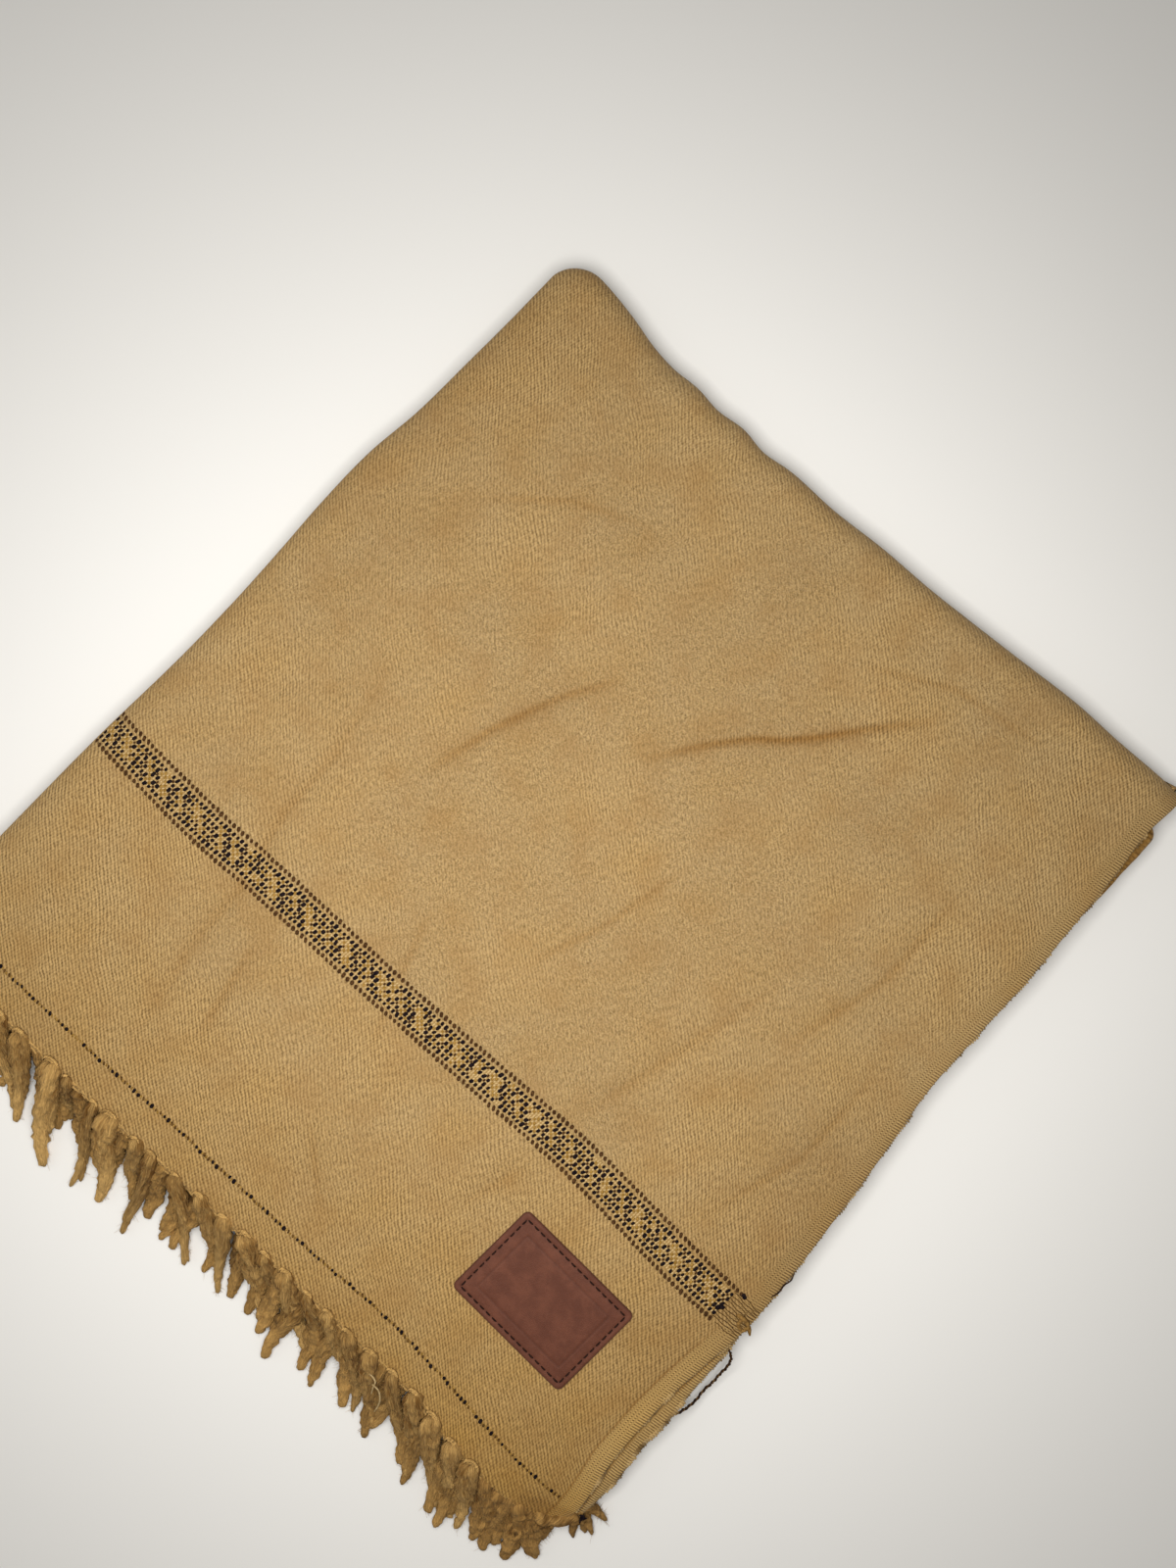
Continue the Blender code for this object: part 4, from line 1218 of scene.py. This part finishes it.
def makeLeather():
    material, tree, shader = newMaterial("brown leather", {
        "Roughness": 0.62, "Specular IOR Level": 0.28, "Sheen Weight": 0.08, "Sheen Roughness": 0.4,
        "Sheen Tint": (1.0, 0.8, 0.7, 1.0),
    })
    place, edge = piecePlace(tree), pieceNumber(tree, "pressed")
    grain = addNode(tree, "TexVoronoi", {"Vector": place, "Scale": 1.7}, feature="DISTANCE_TO_EDGE")
    pores = noise(tree, place, 3.2, 3.0, 0.6)
    cloud = ramp(tree, noise(tree, place, 0.11, 4.0, 0.7), 0.35, 0.7)
    colour = mixColour(tree, cloud, patch["colour"], patch["worn"])
    colour = mixColour(tree, times(tree, ramp(tree, pores, 0.45, 0.7), 0.35), colour, patch["dark"])
    colour = mixColour(tree, times(tree, edge, 0.75, clamp=True), colour, patch["dark"])
    height = scaled(tree, ramp(tree, grain.outputs[0], 0.0, 0.25), 0.6, times(tree, pores, 0.6))
    finishSurface(tree, shader, colour, height, 0.12, 0.7)
    tree.links.new(scaled(tree, pores, 0.25, 0.5), shader.inputs["Roughness"])
    return material


def roundedDistance(u, v, half, corner):
    # How far inside the patch's outline a point is.
    a, b = np.abs(u) - half[0] + corner, np.abs(v) - half[1] + corner
    outside = np.hypot(np.maximum(a, 0), np.maximum(b, 0)) + np.minimum(np.maximum(a, b), 0)
    return corner - outside


def stitchRow():
    # Middles and directions of the stitches, clockwise round the patch.
    half = np.array(patch["size"]) / 2 - patch["stitchInset"]
    counts = (patch["stitchesAcross"], patch["stitchesAlong"]) * 2
    corners = [half * turn for turn in ((-1, 1), (1, 1), (1, -1), (-1, -1), (-1, 1))]
    rows = []
    for count, start, end in zip(counts, corners[:-1], corners[1:]):
        for share in (np.arange(count) + 0.5) / count:
            rows.append((*mix(start, end, share), *unit(end - start)))
    return np.array(rows)


def roundedGrid(half, corner, columns, rows):
    # A flat grid whose corner cells are drawn in to a rounded outline.
    u, v = np.meshgrid(np.linspace(-1, 1, columns + 1), np.linspace(-1, 1, rows + 1), indexing="ij")
    local = np.stack((u * half[0], v * half[1]), -1)
    past = np.maximum(np.abs(local) - half + corner, 0) / corner
    reach = np.maximum(np.hypot(past[..., 0], past[..., 1]), 1e-6)
    shrink = np.where((past > 0).all(-1), np.maximum(past.max(-1), 1e-6) / reach, 1.0)
    pulled = np.sign(local) * (half - corner + past * corner * shrink[..., None])
    return np.where(past > 0, pulled, local)


def patchDents(a, b, depthIn, stitches):
    # The stitch line with a hole at each end of a stitch, and the pressed frame.
    dent = patch["lineDent"] * bell(depthIn - patch["stitchInset"], 0.9)
    for x, y, dx, dy in stitches:
        for end in (-patch["holeReach"], patch["holeReach"]):
            away = (a - x - dx * end) ** 2 + (b - y - dy * end) ** 2
            dent += patch["stitchDent"] * np.exp(-(away / 0.35))
    fromFrame = (depthIn - patch["frameInset"]) / (patch["frameWidth"] / 2)
    return dent + patch["frameDepth"] * np.exp(-(fromFrame**4))


def patchLevel(x, y):
    return plainLevel(x, y) - creaseDepth(x, y) * 0.7 + patch["lift"] + patch["thickness"]


def makePatch(stitches):
    half = np.array(patch["size"]) / 2
    columns, rows = (int(round(length / patch["cell"])) for length in patch["size"])
    local = roundedGrid(half, patch["corner"], columns, rows)
    a, b = local[..., 0], local[..., 1]
    depthIn = np.maximum(roundedDistance(a, b, half, patch["corner"]), 0)
    dent = patchDents(a, b, depthIn, stitches)
    rounding = patch["edgeRound"]
    roundShare = np.clip(1 - depthIn / rounding, 0, 1)
    fall = rounding * (1 - np.sqrt(1 - roundShare**2)) * 0.8
    x, y = patchMiddle[0] + a, patchMiddle[1] + b
    puff = 0.25 * smoothStep((depthIn - 3) / 10)
    top = np.stack((x, y, patchLevel(x, y) + puff - dent - fall), -1).reshape(-1, 3)
    rim = gridRim(columns + 1, rows + 1)
    points, faces = [top], [tuple(face) for face in gridFaces(columns + 1, rows + 1)]
    # The edge and the dents are darker.
    worn = np.clip(1 - depthIn / 0.9, 0, 1) * 0.6 + np.clip((dent - 0.1) / 0.3, 0, 1) * 0.55
    edge = [worn.ravel()]
    made, upper = len(top), rim
    middle = top[:, :2].mean(axis=0)
    for inset, down in patch["edgeRows"]:
        row = top[rim].copy()
        row[:, :2] += unit(middle - row[:, :2]) * inset
        row[:, 2] -= down
        points.append(row)
        edge.append(np.full(len(rim), 0.8))
        lower = made + np.arange(len(rim))
        faces += bandFaces(upper, lower)
        upper, made = lower, made + len(rim)
    faces.append(tuple(upper[::-1]))
    points = np.concatenate(points)
    addPiece("patch_leather", points, faces, makeLeather(), "leather", ("leather_patch",),
             clothPlace=points * (1, 1, 0), pressed=np.concatenate(edge))


def makeStitches(stitches):
    # A short thick thread in each pair of holes.
    x, y = patchMiddle[0] + stitches[:, 0], patchMiddle[1] + stitches[:, 1]
    level = patchLevel(x, y) - 0.02
    share = np.linspace(-1, 1, 7)
    reach = share * patch["stitchHalf"]
    routes = np.stack([np.column_stack((
        x[k] + stitches[k, 2] * reach, y[k] + stitches[k, 3] * reach,
        level[k] + 0.12 - 0.5 * share**4)) for k in range(len(stitches))])
    radii = np.broadcast_to(patch["threadRadius"] * np.sqrt(1 - 0.55 * share**2), routes.shape[:2])
    points, faces = tubes(routes, radii, 8)
    addPiece("patch_stitches", points, faces, darkThread, "leather")


darkThread = makeYarn("stitching thread", (0.012, 0.006, 0.005), (0.036, 0.016, 0.011), 2.0)
makePatch(stitchRow())
makeStitches(stitchRow())
print("leather patch made")


fringe = {
    # Locks of the top layer: (place along the edge, length, lean in the picture, width, parting of tips)
    "upper": (
        (-199, 36, -16, 8.0, 0.5), (-186, 39, -22, 9.0, 0.8), (-173, 37, -12, 8.0, 0.4),
        (-160, 40, -18, 8.6, 0.6), (-147, 37, -5, 8.8, 0.5), (-134, 35, -11, 9.6, 0.3),
        (-114, 43, -13, 12.0, 0.3), (-104, 13, -20, 6.0, 0.2),
        (-87, 37, -22, 6.2, 0.9), (-77, 36, -18, 12.0, 0.5), (-61, 21, -14, 7.4, 0.5),
        (-51, 37, -24, 7.0, 0.1), (-36, 37, 3, 7.0, 0.8), (-21, 27, 7, 8.2, 0.6), (-6, 32, -12, 7.4, 0.7),
        (7, 33, 4, 10.4, 1.0), (20, 25, 6, 7.2, 0.5), (33, 32, 4, 9.4, 0.5), (47, 29, 6, 6.6, 0.4),
        (60, 35, 10, 7.4, 0.5), (73, 35, 0, 7.4, 0.3), (87, 31, -3, 9.4, 0.9), (101, 41, 3, 7.8, 0.3),
        (115, 37, -3, 9.2, 0.7), (129, 41, 0, 9.8, 0.6), (144, 34, -5, 9.8, 0.7), (158, 29, -13, 10.4, 0.7),
    ),
    "lower": {"first": -196.0, "last": 164.0, "pitch": 12.6, "length": (27.0, 36.0), "lean": (-38.0, -10.0),
              "width": (9.0, 12.0), "drop": 6.0},
    # The next layer's fringe, just past the low corner: the same, with how far up the selvedge each starts.
    "tuft": (
        (211, 15, 2, 7.0, 0.7, 14), (214, 13, 20, 6.5, 0.9, 16), (216, 11, 58, 4.5, 0.4, 20),
        (206, 9, -10, 6.0, 0.9, 6),
    ),
    "straightDown": -45.0,  # down in the picture, as a heading on the cloth
    "headInside": 2.6,
    "tipDrop": 10.5,  # how much longer the soft tips are than the lengths above
    "lobes": 3,
    "lobeShare": 0.32,
    "thickness": 2.9,
    "stations": 34,
    "sides": 14,
    # Stray fibres: (how many, shortest and longest)
    "fibres": {"upper": (5200, (1.6, 4.8)), "lower": (2000, (1.6, 4.6)), "corner": (1400, (1.4, 4.0))},
    "fibreRadius": 0.08,
}


def edgeLevel(x, drop):
    y = fringedY(x)
    return y, max(float(plainLevel(np.array(x, float), y)) - drop, 3.2)


def lockLobes(spot, drop, chance, tipDrop):
    # The routes, radii and tones of one felted lock: fat lobes that wind together and part near the tips.
    x, length, lean, width, parting = spot[:5]
    sizes = fringe
    share = np.linspace(0, 1, sizes["stations"])
    edgeY, top = edgeLevel(x, drop)
    heading = math.radians(sizes["straightDown"] + lean)
    along = np.array((math.cos(heading), math.sin(heading)))
    sideways = np.array((-along[1], along[0]))
    head = np.array((x, float(edgeY) + (spot[5] if len(spot) > 5 else 0))) - along * sizes["headInside"]
    reach = length + tipDrop + sizes["headInside"]
    bend, bendPhase = chance.uniform(1.0, 2.4) * (1.7 if x < -30 else 1.0), chance.uniform(0, 6.28)
    twist, firstTurn = chance.uniform(1.8, 4.2) * chance.choice((-1, 1)), chance.uniform(0, 6.28)
    lockTone = chance.uniform(0.08, 0.36)
    routes, radii, tones = [], [], []
    for lobe in range(sizes["lobes"]):
        last = (1.0, chance.uniform(0.8, 0.97), chance.uniform(0.55, 0.88))[lobe]
        body = share * last
        turn = firstTurn + lobe * 2 * math.pi / sizes["lobes"] + twist * body
        spread = np.interp(body, (0, 0.05, 0.2, 0.75, 1), (0.45, 0.85, 1, 0.75, 0.6))
        spread = spread * width * (0.5 - sizes["lobeShare"] * 0.78)
        away = parting * 3.2 * math.cos(firstTurn + lobe * 2.4) * np.clip(body - 0.5, 0, 1) ** 1.5 / 0.35
        across = spread * np.cos(turn) + away * last + bend * np.sin(4.4 * body + bendPhase) * body
        belly = np.interp(share, (0, 0.02, 0.07, 0.2, 0.5, 0.78, 0.92, 0.97, 0.99, 1),
                          (0.3, 0.78, 1.04, 1.0, 0.94, 0.84, 0.66, 0.5, 0.34, 0.14))
        belly = belly * (1 + 0.10 * np.sin(7 * body + 3 * lobe) + 0.05 * np.sin(19 * body + 5 * lobe))
        half = width * sizes["lobeShare"] * belly * (1, 0.92, 0.84)[lobe]
        thick = sizes["thickness"] * belly * (0.75 + 0.25 * width / 9) * (1, 0.9, 0.82)[lobe]
        rise = 1.2 * np.sin(turn) * np.interp(body, (0, 0.1, 0.9, 1), (0.4, 1, 1, 0.3))
        onFloor = 0.45 + thick * 0.92 + 0.7 + 0.7 * np.sin(turn)
        drape = smoothStep((body - 0.03) / 0.85)
        level = mix(top + 0.6 + rise, onFloor, drape) + 1.3 * bell(body - 0.06, 0.07)
        line = head + along * reach * body[:, None] + sideways * across[:, None]
        routes.append(np.column_stack((line, level)))
        radii.append(np.stack((half, thick), -1))
        # Tips are paler; a lobe is painted lighter where it winds up and darker where it winds down:
        # painted light and shade.
        paleTip = np.clip((body - 0.3) / 0.7, 0, 1) * chance.uniform(0.6, 1.0)
        paleHead = np.clip(1 - body / 0.1, 0, 1) * 0.22
        tones.append(np.clip(lockTone + paleTip + paleHead + 0.22 * np.sin(turn), 0, 1))
    return routes, radii, tones


def makeLocks(name, nodes, spots, drop, finish, seed, tipDrop=fringe["tipDrop"]):
    chance = np.random.default_rng(seed)
    made = [lockLobes(spot, drop, chance, tipDrop) for spot in spots]
    routes, radii, tones = (np.array([part for lock in made for part in lock[k]]) for k in range(3))
    sides, share = fringe["sides"], np.linspace(0, 1, fringe["stations"])
    points, faces = tubes(routes, radii, sides)
    count, stations = routes.shape[:2]
    shaped = points.reshape(count, stations, sides, 3)
    middle = routes[:, :, None]
    angle = np.arange(sides) * 2 * math.pi / sides
    # Felted wool is lumpy, with soft ridges that wind along the lobe.
    wind = chance.uniform(0, 6.28, count)[:, None, None] + share[None, :, None] * 4.0
    swell = 1 + 0.08 * np.cos(2 * angle + wind) + 0.06 * np.cos(5 * angle - 1.6 * wind)
    lumps = 0.17 * softNoise(seed, 5.0, *points.T) + 0.11 * softNoise(seed + 1, 2.2, *points.T)
    swell = swell + lumps.reshape(swell.shape) + 0.04 * chance.normal(size=swell.shape)
    shaped = middle + (shaped - middle) * swell[..., None]
    shaped[..., 2] = np.maximum(shaped[..., 2], 0.35)
    tone = np.broadcast_to(tones[:, :, None], shaped.shape[:3]).ravel()
    around = np.broadcast_to(angle * 3.0, shaped.shape[:3]) + 40.0 * np.arange(count)[:, None, None]
    length = np.broadcast_to((share * 38)[None, :, None], shaped.shape[:3])
    place = np.stack((around, length, 0 * around), -1).reshape(-1, 3)
    addPiece(name, shaped.reshape(-1, 3), faces, finish, "fringe_wool", nodes, clothPlace=place, tone=tone)
    return shaped


def addFelt(name, points, faces, finish, tone):
    addPiece(name, points, faces, finish, "fringe_wool", clothPlace=points * (1, 1, 0), tone=tone)


def makeEdgeCurls(spots, seed):
    # Between the locks the cloth's edge rolls over: an arc from each head to the next,
    # and a crumpled cap on the head.
    chance = np.random.default_rng(seed)
    share = np.linspace(0, 1, 26)
    routes, radii = [], []
    for k, (x, _, _, width, _) in enumerate(spots):
        toNext = spots[k + 1][0] - x if k + 1 < len(spots) else 12.0
        # Three strands of each arc: (reach, start, sag, height, thickness)
        for long, start, sag, rise, thick in (
            (1.0, 0.4, 1.0, 0.0, 1.0), (0.85, -0.9, 0.6, -1.3, 1.3), (0.6, -1.7, 0.4, -2.6, 1.5),
        ):
            spotX = x - 2.2 + (min(toNext, 15) * long + 1.0) * share
            edge = fringedY(spotX)
            inward = start + 1.5 * np.sin(math.pi * share) * sag
            inward = inward + 0.3 * np.sin(9 * share + chance.uniform(0, 6.28))
            level = plainLevel(spotX, edge) + rise + 0.5 * bell(share, 0.2)
            routes.append(np.column_stack((spotX, edge + inward, level)))
            radii.append(np.interp(share, (0, 0.1, 0.5, 1), (0.5, 1.0, 0.7, 0.35)) * thick)
        for loop in (1.0, 0.62):
            turn = math.pi * (1.1 - 1.5 * share) + chance.normal(0, 0.2)
            size = width * 0.36 * loop
            inward = size * 0.7 * np.sin(turn) + 1.0
            spotX = x - 1.2 + size * np.cos(turn)
            edge = fringedY(spotX)
            level = plainLevel(spotX, edge) + 1.7 + 0.5 * np.sin(math.pi * share) - 0.2 * (3 - inward)
            routes.append(np.column_stack((spotX, edge + inward, level)))
            thick = np.interp(share, (0, 0.2, 0.8, 1), (0.3, 0.75, 0.6, 0.2))
            radii.append(thick * chance.uniform(0.8, 1.2))
    points, faces = tubes(np.array(routes), np.array(radii), 8)
    points = wobble(points, seed, 1.8, 0.16)
    tone = np.clip(0.75 + 0.25 * softNoise(seed + 9, 9, *points.T), 0, 1)
    addFelt("fringe_edge_curls", points, faces, topFelt, tone)


def makeFibres(name, shaped, kind, finish, seed):
    # Stray wool fibres that stand off the locks, more of them towards the low corner.
    count, reach = fringe["fibres"][kind]
    chance = np.random.default_rng(seed)
    lobes, stations, sides = shaped.shape[:3]
    lobe = (lobes * chance.random(count) ** 0.6).astype(int)
    ring = chance.integers(3, stations - 1, size=count)
    side = chance.integers(sides, size=count)
    start = shaped[lobe, ring, side]
    outward = unit(start - shaped[lobe, ring].mean(axis=1))
    along = unit(shaped[lobe, ring + 1, side] - shaped[lobe, ring - 1, side])
    heading = unit(along * chance.uniform(0.3, 1.2, (count, 1))
                   + outward * chance.uniform(0.15, 0.7, (count, 1)) + chance.normal(0, 0.35, (count, 3)))
    bent = unit(heading + chance.normal(0, 0.6, (count, 3)))
    length = chance.uniform(*reach, (count, 1, 1))
    share = np.linspace(0, 1, 4)[None, :, None]
    routes = start[:, None] - outward[:, None] * 0.2 + length * (
        heading[:, None] * share * (1 - 0.5 * share) + bent[:, None] * share**2 * 0.5)
    routes[..., 2] = np.maximum(routes[..., 2], 0.3)
    radii = np.broadcast_to(fringe["fibreRadius"] * (1 - 0.6 * share[..., 0]), routes.shape[:2])
    points, faces = tubes(routes, radii, 3)
    addFelt(name, points, faces, finish, 0.9)


def lowerSpots():
    row, chance = fringe["lower"], np.random.default_rng(44)
    spots = []
    for x in np.arange(row["first"], row["last"], row["pitch"]):
        # The locks that show between the first ones of the row above are the shorter ones.
        place = x + chance.uniform(-2, 2)
        length = chance.uniform(*row["length"]) * float(np.interp(x, (-60, 10), (0.6, 1.0)))
        lean, width, parting = (chance.uniform(*reach) for reach in (row["lean"], row["width"], (0.3, 1.0)))
        spots.append((place, length, lean, width, parting))
    return spots


cornerCurl = {
    # The cloth's end rolls up on itself at the low corner: (x, y, z, half width)
    "roll": (
        (170, -204.6, 12.4, 0.8), (177, -204.4, 11.4, 2.2), (186, -203.6, 10.4, 3.0),
        (195, -201.8, 9.6, 3.4), (203, -198.4, 9.2, 3.2), (209, -193.2, 9.4, 2.6),
        (212.5, -187.6, 10.2, 1.2),
    ),
    "rags": (
        (170, 37, -15, 12.0, 0.5), (180, 35, -17, 13.0, 0.7), (188, 33, -12, 12.5, 0.9),
        (194, 27, 0, 12.0, 0.9), (199, 22, 5, 10.0, 0.7), (204, 11, 8, 8.0, 0.6),
    ),
    # A curl of felt that winds round itself: (x, y, z), outer reach
    "spiral": ((197.0, -214.0, 10.5), 4.6),
    "knot": (214.0, -186.2, 12.4),
    "knotStrands": 7,
    "knotHalf": (1.5, 0.5, 0.5),
}


def makeCornerRoll():
    line, _ = smoothLine(np.array(cornerCurl["roll"], float), 70)
    centre, half = line[:, :3], line[:, 3:]
    level = unit(np.cross(unit(np.gradient(centre, axis=0)), (0, 0, 1.0)))
    routes, radii = [], []
    # Three turns of the roll lie beside and over each other: (across, up, size)
    for across, rise, size in ((0.0, 0.6, 1.0), (-0.75, -0.3, 0.8), (0.7, 0.1, 0.7)):
        middle = centre + level * (across * half) + (0, 0, 1) * (rise * half)
        routes.append(wobble(middle, int(90 + 9 * size), 11, 0.5))
        radii.append(np.column_stack((half * size, half * size * 0.8)))
    points, faces = tubes(np.array(routes), np.array(radii), 20)
    swell = 0.4 * softNoise(91, 7.5, *points.T) + 0.2 * softNoise(92, 3.0, *points.T)
    middles = np.repeat(np.array(routes).reshape(-1, 3), 20, axis=0)
    points = middles + (points - middles) * (1 + 0.3 * swell[:, None])
    points[:, 2] = np.maximum(points[:, 2], 0.35)
    tone = np.clip(0.5 + 0.35 * softNoise(93, 7, *points.T), 0, 1)
    addFelt("corner_curl", points, faces, curledFelt, tone)


def makeCornerSpiral():
    middle, reach = cornerCurl["spiral"]
    share = np.linspace(0, 1, 60)
    turn, radius = 3.6 * math.pi * share, reach * (1 - 0.8 * share)
    rise = 1.8 * share - 1.2 * (1 - share) ** 3
    coil = np.stack((radius * np.cos(turn), radius * np.sin(turn), rise), -1)
    width = np.interp(share, (0, 0.08, 0.9, 1), (0.4, 1.5, 0.9, 0.4))
    points, faces = tubes((coil + middle)[None], width[None], 10)
    points = wobble(points, 95, 2.6, 0.2)
    tone = np.clip(0.55 + 0.3 * softNoise(98, 5, *points.T), 0, 1)
    addFelt("corner_spiral", points, faces, curledFelt, tone)


def makeCornerKnot():
    chance, count = np.random.default_rng(81), cornerCurl["knotStrands"]
    spot = np.array(cornerCurl["knot"]) + chance.normal(0, 0.7, (count, 3)) * (1, 1, 0.4)
    heading = unit(chance.normal(size=(count, 3)) * (1, 1, 0.2))
    across = unit(np.cross(heading, (0, 0, 1.0)))
    half = np.tile(cornerCurl["knotHalf"], (count, 1))
    points, faces = grains(spot, heading, across, np.cross(across, heading), half)
    addPiece("corner_knot", points, faces, blackYarn)


upperLobes = makeLocks("fringe_upper_locks", ("fringe_top",), fringe["upper"], 0.9, topFelt, 71)
lowerLobes = makeLocks("fringe_lower_locks", ("fringe_under",), lowerSpots(), fringe["lower"]["drop"],
                       shadedUnderFelt, 72)
cornerLobes = makeLocks("corner_tufts", (), fringe["tuft"], 4.0, curledFelt, 76, 0.0)
ragLobes = makeLocks("corner_rags", (), cornerCurl["rags"], 5.0, curledFelt, 78, 0.0)
makeCornerRoll()
makeCornerSpiral()
makeCornerKnot()
makeEdgeCurls(fringe["upper"], 73)
makeFibres("fringe_fibres", upperLobes, "upper", topFelt, 74)
makeFibres("fringe_fibres_below", lowerLobes, "lower", shadedUnderFelt, 75)
makeFibres("corner_fibres", np.concatenate((cornerLobes, ragLobes)), "corner", curledFelt, 77)
print("fringe made")


stage = {
    "floor": (0.795, 0.772, 0.725),
    "camera": (-30.0, 62.0, 571.0),  # in the millimetres of the cloth's tables
    "cameraTurn": 45,
    "lens": 27.05,
    # In metres: (name, place, what it points at, size, power)
    "lights": (
        ("top panel", (-0.045, 0.002, 0.50), (-0.045, 0.002, 0.0), (0.30, 0.30), 3.5),
        ("left panel", (-0.9, -0.5, 0.7), (0.0, 0.0, 0.0), (0.9, 0.7), 1.2),
    ),
    "world": (1.0, 0.99, 0.975),
    "worldStrength": 0.23,
}

looseYarn = {
    # Places as they are seen in the picture, with the height over the floor: (x, y, z)
    "float": (
        (744, 1377, 17.0), (746, 1385, 15.0), (742, 1394, 12.0), (735, 1401, 10.0), (727, 1410, 8.5),
        (718, 1418, 8.0), (710, 1428, 8.5), (702, 1435, 11.0), (694, 1440, 14.0), (688, 1443, 16.0),
    ),
    "edgeThread": (
        (810, 1300, 19.0), (807, 1306, 20.2), (800, 1311, 21.0), (795, 1318, 21.3), (787, 1323, 21.0),
    ),
    "tanLoop": (
        (749, 1340, 20.5), (755, 1343, 22.5), (761, 1348, 22.5), (763, 1354, 21.5), (757, 1357, 20.5),
        (753, 1351, 21.5), (758, 1346, 22.5), (763, 1352, 21.0), (765, 1362, 18.0),
    ),
    "creamLoops": (
        ((376, 1401, 20.0), (380, 1404, 22.0), (383, 1409, 22.0), (381, 1415, 21.0), (379, 1422, 19.0)),
        ((380, 1412, 21.5), (386, 1418, 21.0), (388, 1426, 19.5), (386, 1434, 17.0), (382, 1440, 15.0)),
    ),
    "pliesRadius": (0.546, 0.315),
    "plyReach": 0.33,
    "turnsPerMm": 0.25,
    "edgeRadius": 0.4,
    "tanRadius": 1.0,
    "creamRadius": 0.42,
}


def fromPicture(px, py, z):
    # The picture is turned by 45 degrees and looks straight down.
    pixels, clothDistance = 2.2, 546  # pixels to a millimetre, and how far from the camera that is
    across, up = (px - 600) / pixels, (800 - py) / pixels
    left, low, height = stage["camera"]
    reach = (height - z) / clothDistance
    x, y = (across - up) / math.sqrt(2) * reach, (across + up) / math.sqrt(2) * reach
    return x + left, y + low, z


def yarnLine(places, count=90):
    middle, run = smoothLine(np.array([fromPicture(*spot) for spot in places]), count)
    return middle, run, np.interp(run, (0, 3, run[-1] - 3, run[-1]), (0.7, 1.0, 1.0, 0.5))


def addYarn(name, middle, thickness, finish):
    points, faces = tubes(middle[None], thickness[None], 8)
    addPiece(name, points, faces, finish)


def makeLooseYarns():
    # Two plies wind round each other, and the rest are single threads.
    sizes = looseYarn
    middle, run, taper = yarnLine(sizes["float"])
    along = unit(np.gradient(middle, axis=0))
    level = unit(np.cross(along, (0, 0, 1.0)))
    upward = np.cross(level, along)
    turn = (run * sizes["turnsPerMm"] * 2 * math.pi)[:, None]
    names, finishes = ("loose_yarn_dark", "loose_yarn_golden"), (darkBrownYarn, tickYarn)
    for name, half, radius, finish in zip(names, (0, math.pi), sizes["pliesRadius"], finishes):
        ply = middle + sizes["plyReach"] * (level * np.cos(turn + half) + upward * np.sin(turn + half))
        addYarn(name, ply, taper * radius, finish)
    for name, places, count, radius, finish in (
        ("edge_thread", sizes["edgeThread"], 40, sizes["edgeRadius"], darkBrownYarn),
        ("tan_loop", sizes["tanLoop"], 70, sizes["tanRadius"], tanYarn),
        ("cream_loop_1", sizes["creamLoops"][0], 40, sizes["creamRadius"], creamYarn),
        ("cream_loop_2", sizes["creamLoops"][1], 40, sizes["creamRadius"], creamYarn),
    ):
        middle, _, taper = yarnLine(places, count)
        addYarn(name, middle, taper * radius, finish)


makeLooseYarns()
print("loose yarns made")


def makeFloor():
    mesh = bpy.data.meshes.new("floor")
    mesh.from_pydata([(-3, -3, 0), (3, -3, 0), (3, 3, 0), (-3, 3, 0)], [], [(0, 1, 2, 3)])
    made = bpy.data.objects.new("floor", mesh)
    bpy.context.scene.collection.objects.link(made)
    material, tree, shader = newMaterial("pale floor", {"Roughness": 0.7, "Specular IOR Level": 0.2})
    shade = noise(tree, addNode(tree, "TexCoord").outputs["Object"], 3.0, 2.0)
    darker = tuple(0.985 * part for part in stage["floor"])
    tree.links.new(mixColour(tree, shade, stage["floor"], darker), shader.inputs["Base Color"])
    mesh.materials.append(material)
    return made


def addLight(name, place, aim, size, power):
    lamp = bpy.data.lights.new(name, "AREA")
    lamp.shape, lamp.size, lamp.size_y = "RECTANGLE", size[0], size[1]
    lamp.energy = power
    made = bpy.data.objects.new(name, lamp)
    made.location = place
    direction = Vector(aim) - Vector(place)
    made.rotation_euler = direction.to_track_quat("-Z", "Y").to_euler()
    bpy.context.scene.collection.objects.link(made)


def makeWorld():
    world = bpy.data.worlds.new("studio")
    world.use_nodes = True
    background = world.node_tree.nodes["Background"]
    background.inputs["Color"].default_value = (*stage["world"], 1.0)
    background.inputs["Strength"].default_value = stage["worldStrength"]
    bpy.context.scene.world = world
    bpy.context.scene.view_settings.view_transform = "Standard"


def makeCamera():
    lens = bpy.data.cameras.new("camera")
    lens.lens, lens.sensor_height, lens.sensor_fit = stage["lens"], 36.0, "VERTICAL"
    lens.clip_start, lens.clip_end = 0.02, 20.0
    camera = bpy.data.objects.new("camera", lens)
    camera.location = tuple(toFrame([stage["camera"]])[0])
    camera.rotation_euler = (0, 0, math.radians(stage["cameraTurn"]))
    bpy.context.scene.collection.objects.link(camera)
    bpy.context.scene.camera = camera


floor = makeFloor()
for light in stage["lights"]:
    addLight(*light)
makeWorld()
makeCamera()
print("stage ready")
